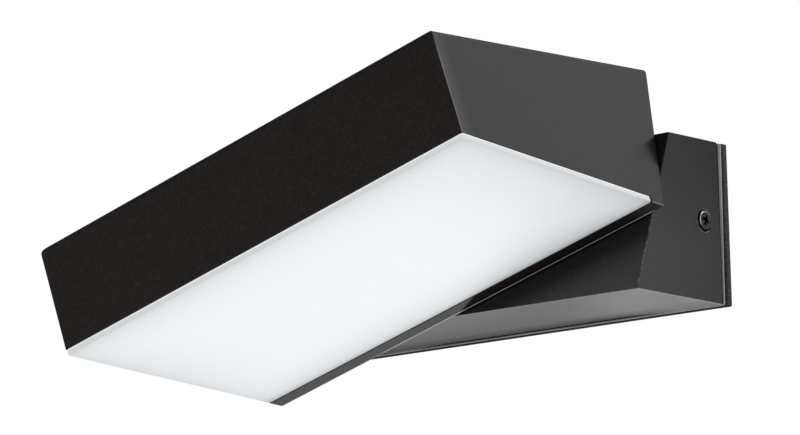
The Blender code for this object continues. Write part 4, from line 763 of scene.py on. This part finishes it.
inside = HEAD_HALF - WALL
middle = inside + WALL / 2
front_inside = -FLOOR + WALL
rim_back = -LIP - LIP_WALL
ceiling_front = roof(front_inside) - WALL * math.hypot(1, ROOF_SLOPE)
ceiling_back = roof(back_at(0, BACK_WALL)) - WALL * math.hypot(1, ROOF_SLOPE)
ceiling_back /= 1 - ROOF_SLOPE * math.tan(LEAN)
ceiling = (front_inside, ceiling_front), (back_at(ceiling_back, BACK_WALL), ceiling_back)
crown = [(y, roof(y)) for y in (-FLOOR + CROWN, ROOF_BACK[0] - CROWN)]
head_keys = [
    (ring(HEAD_HALF - CROWN, *crown, EDGE), 0),
    (ring(HEAD_HALF, (-FLOOR, NOSE), ROOF_BACK, EDGE), TOP_EDGE),
    (level(HEAD_HALF, -FLOOR, back_at(BAND + CROWN), BAND + CROWN, EDGE), 0),
    (level(HEAD_HALF, -FLOOR, 0, BAND, EDGE, 1), RIM_EDGE),
    (level(middle, -FLOOR + WALL / 2, -LIP + LIP_STEP, BAND, 0, 1), 0),
    (level(middle, -FLOOR + WALL / 2, -LIP - LIP_STEP, BAND, 0), 0),
    (level(inside, front_inside, rim_back, BAND, WALL / 2), EDGE),
    (level(inside, front_inside, rim_back, LIP_HEIGHT, WALL / 2), EDGE),
    (level(inside, front_inside, back_at(LIP_HEIGHT, BACK_WALL), LIP_HEIGHT, WALL / 2), 0),
    (ring(inside, *ceiling, WALL / 2), 0),
]

# %% Cast the head, its screw bosses and its shaft bore
BOSS_RADIUS = 3.4 * MM
BOSS_BOTTOM = 18.3 * MM
BOSS_INSET = 6 * MM
SCREW_HOLE = 1.8 * MM
HOLE_DEPTH = 2.9 * MM
SHAFT_HOLE = 10.3 * MM
SHAFT_SCREWS = 14.6 * MM
SCREW_COUNT = 3
UPRIGHT = spin(math.pi / 2, "X")


def on_circle(radius, angle):
    """A place on a circle round the Y axis, its angle from the Z axis."""
    return at(radius * math.sin(angle), 0, radius * math.cos(angle))


stations = np.array([2, 1, -1, -2]) * LIP_STEP - LIP
head = cast("head_shell", head_keys, HEAD_FLOOR, stations=stations)
width, near, far = inside - BOSS_INSET, rim_back - BOSS_INSET, front_inside + BOSS_INSET
for x, y in ((-width, far), (-width, near), (width, far), (width, near)):
    place = HEAD_FLOOR @ at(x, y, 0) @ UPRIGHT
    worked_rod(head, JOIN, place, BOSS_RADIUS, BOSS_BOTTOM, roof(y) - WALL / 2, 32)
    worked_rod(head, CUT, place, SCREW_HOLE, BOSS_BOTTOM - MM, BOSS_BOTTOM + HOLE_DEPTH)
worked_rod(head, CUT, HEAD, SHAFT_HOLE, -BACK_WALL - 3 * MM, 0, 64)
flange = -FACE_GAP - BACK_WALL
for number in range(SCREW_COUNT):
    place = HEAD @ on_circle(SHAFT_SCREWS, math.tau * number / SCREW_COUNT)
    worked_rod(head, CUT, place, SCREW_HOLE, flange - 2 * MM, flange + HOLE_DEPTH)
finished(head, head_paint, "head", "paint", "head_housing")

# %% [markdown]
# ## The diffuser
#
# The diffuser is a slab as wide as the light, with a rim that stands up inside the opening. Its lower edge is
# rounded and its corners are round in plan. Its top stays 0.12 mm under the housing's rim.

# %% Mould the diffuser
INSET = 0.2 * MM
# Inset, height and edge radius of the slab's rings, in mm
SLAB = ((6, 0, 0), (0, 0, 0.3), (0, 2.38, 0.15))
SLAB_CORNER = 1 * MM
# Inset from the opening, height, corner radius and edge radius of the rim's rings, in mm
RIM = ((2.1, 2.38, 1.2, 0.2), (2.1, 7, 1.2, 0.4), (4.1, 7, 1, 0.4), (4.1, 2.38, 1, 0.4), (10.1, 2.38, 1, 0))
diffuser_keys = []
for inset, height, edge in in_metres(SLAB):
    front, rear = -FLOOR + INSET + inset, -LIP - CLEARANCE - inset
    diffuser_keys.append((level(HEAD_HALF - INSET - inset, front, rear, height, SLAB_CORNER), edge))
for inset, height, corner, edge in in_metres(RIM):
    key = level(inside - inset, front_inside + inset, rim_back - inset, height, corner)
    diffuser_keys.append((key, edge))
diffuser = cast("diffuser_cover", diffuser_keys, HEAD_FLOOR)
finished(diffuser, opal, "head", "opal", "diffuser")

# %% [markdown]
# ## The base housing
#
# The base is a second casting, open towards the wall. Its front leans out to the bottom. Each end has a
# counterbore for a pan head screw, and inside are the pads for those screws, the round boss of the swivel and
# two posts that stop the turn.

# %% Rings of the base housing
BASE_EDGE = 0.4 * MM


def base_ring(half, top, bottom, radius=BASE_EDGE):
    """A ring between a top and a bottom point of the base, both given as (depth from the wall, height)."""
    return ring(half, (-top[0], top[1]), (-bottom[0], bottom[1]), radius)


under = PLATE_TOP - FRONT_HEIGHT
front_top, front_bottom = (DEPTH_TOP, PLATE_TOP), (DEPTH_BOTTOM, under)
back_top, back_bottom = (HOUSING_BACK, PLATE_TOP), (HOUSING_BACK, HOUSING_BOTTOM)
floor_slope = (under - HOUSING_BOTTOM) / (DEPTH_BOTTOM - HOUSING_BACK)
floor_inside = HOUSING_BOTTOM + WALL * math.hypot(1, floor_slope)
through_front = WALL / math.cos(SLANT)
depth = DEPTH_BOTTOM - through_front - WALL * math.tan(SLANT)
wall_top = (DEPTH_TOP - through_front + WALL * math.tan(SLANT), PLATE_TOP - WALL)
open_top, open_bottom = (HOUSING_BACK, PLATE_TOP - WALL), (HOUSING_BACK, floor_inside)
wall_bottom = (depth, floor_inside + (depth - HOUSING_BACK) * floor_slope)
down_front = np.array((math.sin(SLANT), -math.cos(SLANT))) * CROWN
crown = [front_top + down_front, front_bottom - down_front]
base_keys = [
    (base_ring(BASE_HALF - CROWN, *crown), 0),
    (base_ring(BASE_HALF, front_top, front_bottom), BASE_EDGE),
    (base_ring(BASE_HALF, back_top, back_bottom), BASE_EDGE),
    (base_ring(BASE_HALF - WALL, open_top, open_bottom, MM), BASE_EDGE),
    (base_ring(BASE_HALF - WALL, wall_top, wall_bottom, MM), 0),
]
base = cast("base_shell", base_keys)

# %% Pads, boss, posts and bores of the base
SCREW_RADIUS = 2 * MM
SHANK_HOLE = SCREW_RADIUS + CLEARANCE
PAD_RADIUS = 7 * MM
BORE_DEPTH = 2 * MM
SEAL_GROOVE = ((15.2, -1), (17.8, -1), (17.8, 1.6), (15.2, 1.6))  # radius and depth in mm
COUNTERBORE = ((0, -0.4), (5.2, -0.4), (4.6, 0.2), (4.6, 2), (2.3, 2), (2.3, 6), (0, 6))  # also in mm
SWIVEL_BOSS, SWIVEL_TOP = 26 * MM, 6 * MM
BUSH_BORE = 13 * MM
POST_CIRCLE, POST_RADIUS, POST_END = 20 * MM, 2 * MM, 9.8 * MM
TAB_HALF = 3.5 * MM
STOP_TURN = math.radians(91.5)
END_FACES = {
    name: at(sign * BASE_HALF, -SCREW_DEPTH, 0) @ spin(sign * math.pi / 2, "Z")
    for name, sign in (("left", -1), ("right", 1))
}
for place in END_FACES.values():
    worked_rod(base, JOIN, place, PAD_RADIUS, WALL / 2, GASKET_WIDTH, 64)
worked_rod(base, JOIN, JOINT, SWIVEL_BOSS, WALL / 2, SWIVEL_TOP, 96)
post_turn = STOP_TURN + math.asin(TAB_HALF / POST_CIRCLE) + math.asin(POST_RADIUS / POST_CIRCLE)
for sign in (-1, 1):
    place = JOINT @ on_circle(POST_CIRCLE, math.pi + sign * post_turn)
    worked_rod(base, JOIN, place, POST_RADIUS, WALL, POST_END)
counterbore = turned(rounded_path(in_metres(COUNTERBORE), 0.3 * MM, steps=3), 96)
for place in END_FACES.values():
    worked(base, shape("counterbore", counterbore, place), CUT)
worked_rod(base, CUT, JOINT, BUSH_BORE, -2 * MM, SWIVEL_TOP + MM, 96)
worked(base, shape("seal_groove", turned(in_metres(SEAL_GROOVE), 96), JOINT, looped=True), CUT)

# %% Hollow the underside's rear edge
RELIEF_RISE, RELIEF_DEPTH, RELIEF_HALF = MM, 11 * MM, 50 * MM
RELIEF_FLARE, RELIEF_RUNOUT = 12 * MM, 32 * MM
RELIEF_REACH = 3
OVERRUN = 2 * MM
forwards = np.array((RELIEF_FLARE, -RELIEF_DEPTH, floor_slope * RELIEF_DEPTH - RELIEF_RISE))
sideways = np.array((RELIEF_RUNOUT, 0, -RELIEF_RISE))
peak = np.array((RELIEF_HALF, -HOUSING_BACK, HOUSING_BOTTOM + RELIEF_RISE))
peak -= forwards * (OVERRUN / RELIEF_DEPTH)
corners = np.array((peak, peak + RELIEF_REACH * forwards, peak + RELIEF_REACH * sideways))
wedge_data = bpy.data.meshes.new("relief")
wedge_points = np.concatenate((corners * (-1, 1, 1), corners))
wedge_faces = [(2, 1, 0), (4, 5, 3), (1, 4, 3, 0), (2, 5, 4, 1), (0, 3, 5, 2)]
wedge_data.from_pydata(wedge_points.tolist(), [], wedge_faces)
worked(base, new_object("relief", wedge_data), CUT)
finished(base, paint, "base", "paint", "base_housing")

# %% [markdown]
# ## The gasket
#
# A silicone frame is squeezed between plate and housing. It stands a hair inside their edges. Its outer side
# is a bead between two grooves, which lies nearer to the wall at the top than at the bottom; its material
# paints a highlight along its length.

# %% Squeeze the gasket
FRAME_CORNER = 1.5 * MM
GROOVE_INSET = 1.6 * MM
# Inset, depth at the top, depth at the bottom and edge radius of each ring, in mm
BEAD = ((1.6, 0.12, 1.2, 0.1), (0.45, 0.25, 1.3, 0.2), (0.05, 1.0, 1.8, 0.5), (0.15, 1.9, 2.3, 0.5))
BEAD_SHOULDER = ((0.6, 2.65, 2.65, 0.2), (1.6, 2.75, 2.75, 0.1))
gasket_back = PLATE + CLEARANCE
gasket_front = gasket_back + GASKET


def outline_ring(inset, top, bottom=None, radius=PLATE_CORNER):
    """A ring of the plate's outline, at a depth from the wall that may change from its top to its bottom."""
    bottom = top if bottom is None else bottom
    return base_ring(BASE_HALF - inset, (top, PLATE_TOP - inset), (bottom, inset - PLATE_TOP), radius)


gasket_keys = [
    (outline_ring(GASKET_WIDTH, gasket_back, radius=FRAME_CORNER), 0.2 * MM),
    (outline_ring(GROOVE_INSET, gasket_back), 0.2 * MM),
]
for inset, top, bottom, edge in in_metres((*BEAD, *BEAD_SHOULDER)):
    gasket_keys.append((outline_ring(inset, gasket_back + top, gasket_back + bottom), edge))
gasket_keys += [
    (outline_ring(GROOVE_INSET, gasket_front), 0.2 * MM),
    (outline_ring(GASKET_WIDTH, gasket_front, radius=FRAME_CORNER), 0.2 * MM),
]
gasket = cast("gasket_band", gasket_keys, looped=True)
finished(gasket, gasket_silicone, "base", "silicone", "base_gasket")

# %% [markdown]
# ## The wall plate
#
# The plate is cast too. Two tabs take the side screws, low pads take the inner screws, two upright slots take
# the wall screws, and a stepped hole holds the cable's grommet.

# %% Cast the wall plate
TAB_FACE = BASE_HALF - GASKET_WIDTH - CLEARANCE
TAB, TAB_REACH = 4 * MM, 8 * MM
PAD_FACE = PLATE + 2 * MM
SLOT_X, SLOT_HALF, SLOT_TOP = 80 * MM, 2.7 * MM, 6 * MM
CABLE_X = 60 * MM
CABLE_HOLE = ((0, -6), (7.5, -6), (7.5, -1.6), (10, -1.6), (10, 1), (0, 1))  # radius and y in mm
PADS = ((-73, -67, -9.5, 0.5), (-21, -15, -9.5, 0.5), (21, 39, -13.5, 13.5))  # from x to x and z to z, in mm
PAD_HOLES = ((-70, -4.5), (-18, -4.5), (30, 4.5), (29, -25))  # x and z in mm, the last one for the earth
EARTH_RADIUS = 3.6 * MM
plate_keys = [(CROWN, 0, 0), (0, 0, EDGE), (0, PLATE, EDGE), (CROWN, PLATE, 0)]
plate = cast("plate_casting", [(outline_ring(inset, depth), edge) for inset, depth, edge in plate_keys])


def block(left, right, low, high, front, edge=0.3 * MM):
    """Adds a box to the plate, as a stack of rings from back to front."""
    middle, half = (left + right) / 2, (right - left) / 2
    keys = []
    for inset, depth in ((edge * 2, PLATE / 2), (0, PLATE / 2), (0, front), (edge * 2, front)):
        row = ring(half - inset, (-depth, high - inset), (-depth, low + inset), edge)
        keys.append((row, 0 if inset else edge))
    worked(plate, cast("block", keys, at(middle, 0, 0)), JOIN)


for side in (-1, 1):
    across = sorted((side * TAB_FACE, side * (TAB_FACE - TAB)))
    block(*across, -TAB_REACH, TAB_REACH, SCREW_DEPTH + TAB_REACH)
for span in in_metres(PADS):
    block(*span, PAD_FACE)
pad_places = [at(x, 0, z) for x, z in in_metres(PAD_HOLES)]
worked_rod(plate, JOIN, pad_places[-1], EARTH_RADIUS, -PAD_FACE, -PLATE / 2, 48)

# %% Cut the slots, the cable hole and the screw holes
slot_rows = [ring(SLOT_HALF, (depth, SLOT_TOP), (depth, -SLOT_TOP), SLOT_HALF) for depth in (-5 * MM, 2 * MM)]
slot_points = ring_points(np.array(slot_rows))
for sign, place in zip((-1, 1), END_FACES.values()):
    worked(plate, shape("slot", slot_points, at(sign * SLOT_X, 0, 0)), CUT)
    start = BASE_HALF - TAB_FACE - MM
    worked_rod(plate, CUT, place, SHANK_HOLE, start, start + TAB + 2 * MM, 32)
worked(plate, shape("cable_hole", turned(in_metres(CABLE_HOLE), 96), at(CABLE_X, 0, 0)), CUT)
for place in pad_places:
    worked_rod(plate, CUT, place, SCREW_HOLE, -PAD_FACE - MM, HOLE_DEPTH - PAD_FACE)
finished(plate, plate_paint, "base", "plate_paint", "wall_plate")

# %% [markdown]
# ## The grommet and the side screws
#
# The grommet is turned rubber. The pan head screws are a surface over a polar grid. Their nearly flat top
# sinks with the square of the radius, their edge is a quarter circle, and the cross recess is cut into the
# top as a smooth depth that depends on the distance to the nearer arm.

# %% Turn the grommet
# Bore, collar, throat, flange and neck: radius and y in mm
GROMMET = ((4.2, 0), (9.7, 0), (9.7, -1.3), (7.2, -1.3), (7.2, -3.3), (10, -3.3), (10, -5.3), (6, -5.3))
GROMMET_TIP = ((5.1, -10.3), (4.2, -10.3), (4.2, 0))
grommet_path = rounded_path(in_metres((*GROMMET, *GROMMET_TIP)), 0.4 * MM)
grommet = shape("grommet_ring", turned(grommet_path[:-1], 96), at(CABLE_X, 0, 0), looped=True)
finished(grommet, plastics["rubber"], "base", "rubber", "cable_grommet")

# %% Pan head screws
HEAD_RADIUS = 3.9 * MM
HEAD_HEIGHT = 2.4 * MM
HEAD_SEAT = BORE_DEPTH - CLEARANCE
HEAD_EDGE = 0.45 * MM
HEAD_SAG = 0.15 * MM
HEAD_STEPS = 144
TOP_ROWS, EDGE_ROWS = 46, 10
RECESS_DEPTH = 1.4 * MM
RECESS_TURN = math.radians(20)
ARM_WIDTH, ARM_LENGTH, CORE = (0.10, 0.19), (0.30, 0.62), (0.12, 0.30)


def smooth_fall(value, span):
    """Falls from 1 to 0 over a span given in shares of the head's radius."""
    t = np.clip((value / HEAD_RADIUS - span[0]) / (span[1] - span[0]), 0, 1)
    return 1 - t * t * (3 - 2 * t)


def pan_head():
    """The head's upper surface over a polar grid, as rings of (x, y, z).

    The top sinks by HEAD_SAG times the square of the share of the radius, and its edge is a quarter circle.
    The recess takes away its depth times the larger of two arms, each a smooth fall over the distance from
    the arm's line and over the distance along it."""
    flat = 1 - HEAD_EDGE / HEAD_RADIUS
    edge = flat + (1 - flat) * np.sin(np.linspace(0, math.pi / 2, EDGE_ROWS))
    share = np.concatenate([np.linspace(0, flat, TOP_ROWS + 1)[:-1], edge])[:, None]
    angle = np.linspace(0, math.tau, HEAD_STEPS, endpoint=False)[None]
    x, z = share * HEAD_RADIUS * np.cos(angle), share * HEAD_RADIUS * np.sin(angle)
    drop = HEAD_EDGE * (1 - np.sqrt(1 - np.clip((share - flat) / (1 - flat), 0, 1) ** 2))
    top = HEAD_HEIGHT - HEAD_SAG * share**2 - drop + 0 * angle
    recess = smooth_fall(np.hypot(x, z), CORE)
    for across, length in ((x, z), (z, x)):
        arm = smooth_fall(np.abs(across), ARM_WIDTH) * smooth_fall(np.abs(length), ARM_LENGTH)
        recess = np.maximum(recess, arm)
    return np.stack([x, RECESS_DEPTH * recess - top, z], axis=-1)


def pan_screw(name, length, matrix):
    """A pan head on its shank, seated on y = 0 with the shank towards +Y."""
    side = [(HEAD_RADIUS, HEAD_SAG + HEAD_EDGE - HEAD_HEIGHT), (HEAD_RADIUS, 0), (SCREW_RADIUS, 0)]
    side = rounded_path([*side, (SCREW_RADIUS, length)], 0.15 * MM, 3)
    tip = [(SCREW_RADIUS * 0.75, length + 0.4 * MM), (0, length + 0.4 * MM)]
    return shape(name, np.concatenate([pan_head(), turned([*side[1:], *tip], HEAD_STEPS)]), matrix)


shank = GASKET_WIDTH + CLEARANCE + TAB + 1.6 * MM - HEAD_SEAT
for side, place in END_FACES.items():
    seated = place @ at(0, HEAD_SEAT, 0) @ spin(RECESS_TURN, "Y")
    screw = pan_screw(f"side_screw_{side}_m4", shank, seated)
    finished(screw, black_steel, "base", "black_steel", f"side_screw_{side}")

# %% [markdown]
# ## The solids that stay
#
# The pieces inside show as they are packed. Each gets the finish of its slot in the record.

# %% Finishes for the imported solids
SLOT_FINISH = {
    "paint": paint,
    "plate_paint": plate_paint,
    "silicone": gasket_silicone,
    "seal_silicone": seal_silicone,
    "opal": opal,
    "black_steel": black_steel,
    "zinc": zinc,
    "brass": brass,
    "aluminium": sheet_metal,
    "board_white": board,
    **plastics,
}
for row in frame["record"]["subparts"]:
    solid = frame["nodes"][row["node"]]
    solid.data.materials.clear()
    solid.data.materials.append(SLOT_FINISH[row["material_slot"]])

# %% [markdown]
# ## Studio
#
# A pale floor lies well below the light, since the lamp hangs on a wall and is seen from slightly below. It
# glows faintly, and the light's underside and the lip mirror it. The camera sees a white background. To every
# other ray the rear half of the room is bright and the front half dim, and all of it brighter towards the
# ground; the dim front gives the long nose its depth. One soft lamp stands high on the right behind the
# wall's line, and a weak card behind the light lays a sheen on faces seen at a low angle.

# %% Floor and world
FLOOR_LEVEL = -0.46
FLOOR_SHAPE = [(x, y, FLOOR_LEVEL) for x, y in ((-4, -5), (4, -5), (4, 3), (-4, 3))]
LOW_SHARE, HIGH_SHARE = 1.6, 0.8
floor_data = bpy.data.meshes.new("studio_floor")
floor_data.from_pydata(FLOOR_SHAPE, [], [(0, 1, 2, 3)])
floor = new_object("studio_floor", floor_data)
pale, tree = new_material("pale_floor", 0.7, Emission_Color=(1, 1, 1, 1))
wire(
    tree,
    Base_Color=blended(tree, mottle(tree, 3), (0.78, 0.78, 0.78), (0.8, 0.8, 0.8)),
    Emission_Strength=ramp(tree, axes(tree, object_place(tree))["Y"], 0.5, 1.7, 0.2, 0.07),
)
under_side = node(tree, "NewGeometry").outputs["Backfacing"]
clear = node(tree, "BsdfTransparent").outputs[0]
one_way = node(tree, "MixShader", {0: under_side, 1: tree.nodes[SHADER].outputs[0], 2: clear})
tree.links.new(one_way.outputs[0], tree.nodes["Material Output"].inputs["Surface"])
floor_data.materials.append(pale)

world = bpy.data.worlds.new("studio")
world.use_nodes = True
bpy.context.scene.world = world
tree = world.node_tree
tree.nodes.clear()
seen = node(tree, "Background", values={"Color": (1, 1, 1, 1), "Strength": 1.0}).outputs[0]
heading = node(tree, "TexCoord").outputs["Generated"]
upward = axes(tree, heading)["Z"]
behind = {"Value": dot(tree, heading, (0.15, 1.0, 0.0))}
limits = {"From Min": -0.35, "From Max": 0.45}
rear = node(tree, "MapRange", behind, limits, interpolation_type="SMOOTHSTEP").outputs["Result"]
front = blended(tree, ramp(tree, upward, 0.25, 0.6), (0.31, 0.275, 0.26), (0.12, 0.12, 0.12))
sky = blended(tree, rear, front, (0.68, 0.68, 0.68))
strength = ramp(tree, upward, -0.55, 0.25, LOW_SHARE, HIGH_SHARE)
lit = node(tree, "Background", {"Color": sky, "Strength": strength}).outputs[0]
to_camera = node(tree, "LightPath").outputs["Is Camera Ray"]
choice = node(tree, "MixShader", {0: to_camera, 1: lit, 2: seen}).outputs[0]
node(tree, "OutputWorld", {"Surface": choice})
bpy.context.scene.view_settings.view_transform = "Standard"

# %% Lights
# Place, target, size in metres and watts of each soft lamp, which the camera does not see
STUDIO = {
    "high_right": ((0.75, 0.45, 1.1), (0.0, -0.05, 0.0), 0.8, 2.0),
    "sheen_card": ((-0.22, 0.62, -0.19), (0.03, -0.05, -0.03), 0.4, 0.2),
}
for name, (place, target, size, watts) in STUDIO.items():
    lamp = bpy.data.lights.new(name, "AREA")
    lamp.shape, lamp.size, lamp.energy = "SQUARE", size, watts
    light = new_object(name, lamp)
    light.location = place
    light.rotation_euler = (Vector(target) - Vector(place)).to_track_quat("-Z", "Y").to_euler()
    light.visible_camera = False

# %% [markdown]
# ## Camera
#
# The camera's place and lens were solved from the straight edges of the photograph. It stands to the right,
# below the light, with a long lens, and is rolled by 1.3 degrees.

# %% Camera
CAMERA_PLACE = (1.138776, -1.426272, -0.308058)
AZIMUTH, ELEVATION, ROLL = (math.radians(value) for value in (40.481, -10.137, -1.336))
LENS, SENSOR = 194.865, 36
flat = math.cos(ELEVATION)
back = Vector((math.sin(AZIMUTH) * flat, -math.cos(AZIMUTH) * flat, math.sin(ELEVATION)))
right = Vector((math.cos(AZIMUTH), math.sin(AZIMUTH), 0))
up = back.cross(right)
across = math.cos(ROLL) * right + math.sin(ROLL) * up
upward = -math.sin(ROLL) * right + math.cos(ROLL) * up
lens = bpy.data.cameras.new("camera")
lens.lens, lens.sensor_width = LENS, SENSOR
camera = new_object("camera", lens)
camera.matrix_world = at(*CAMERA_PLACE) @ Matrix((across, upward, back)).transposed().to_4x4()
bpy.context.scene.camera = camera
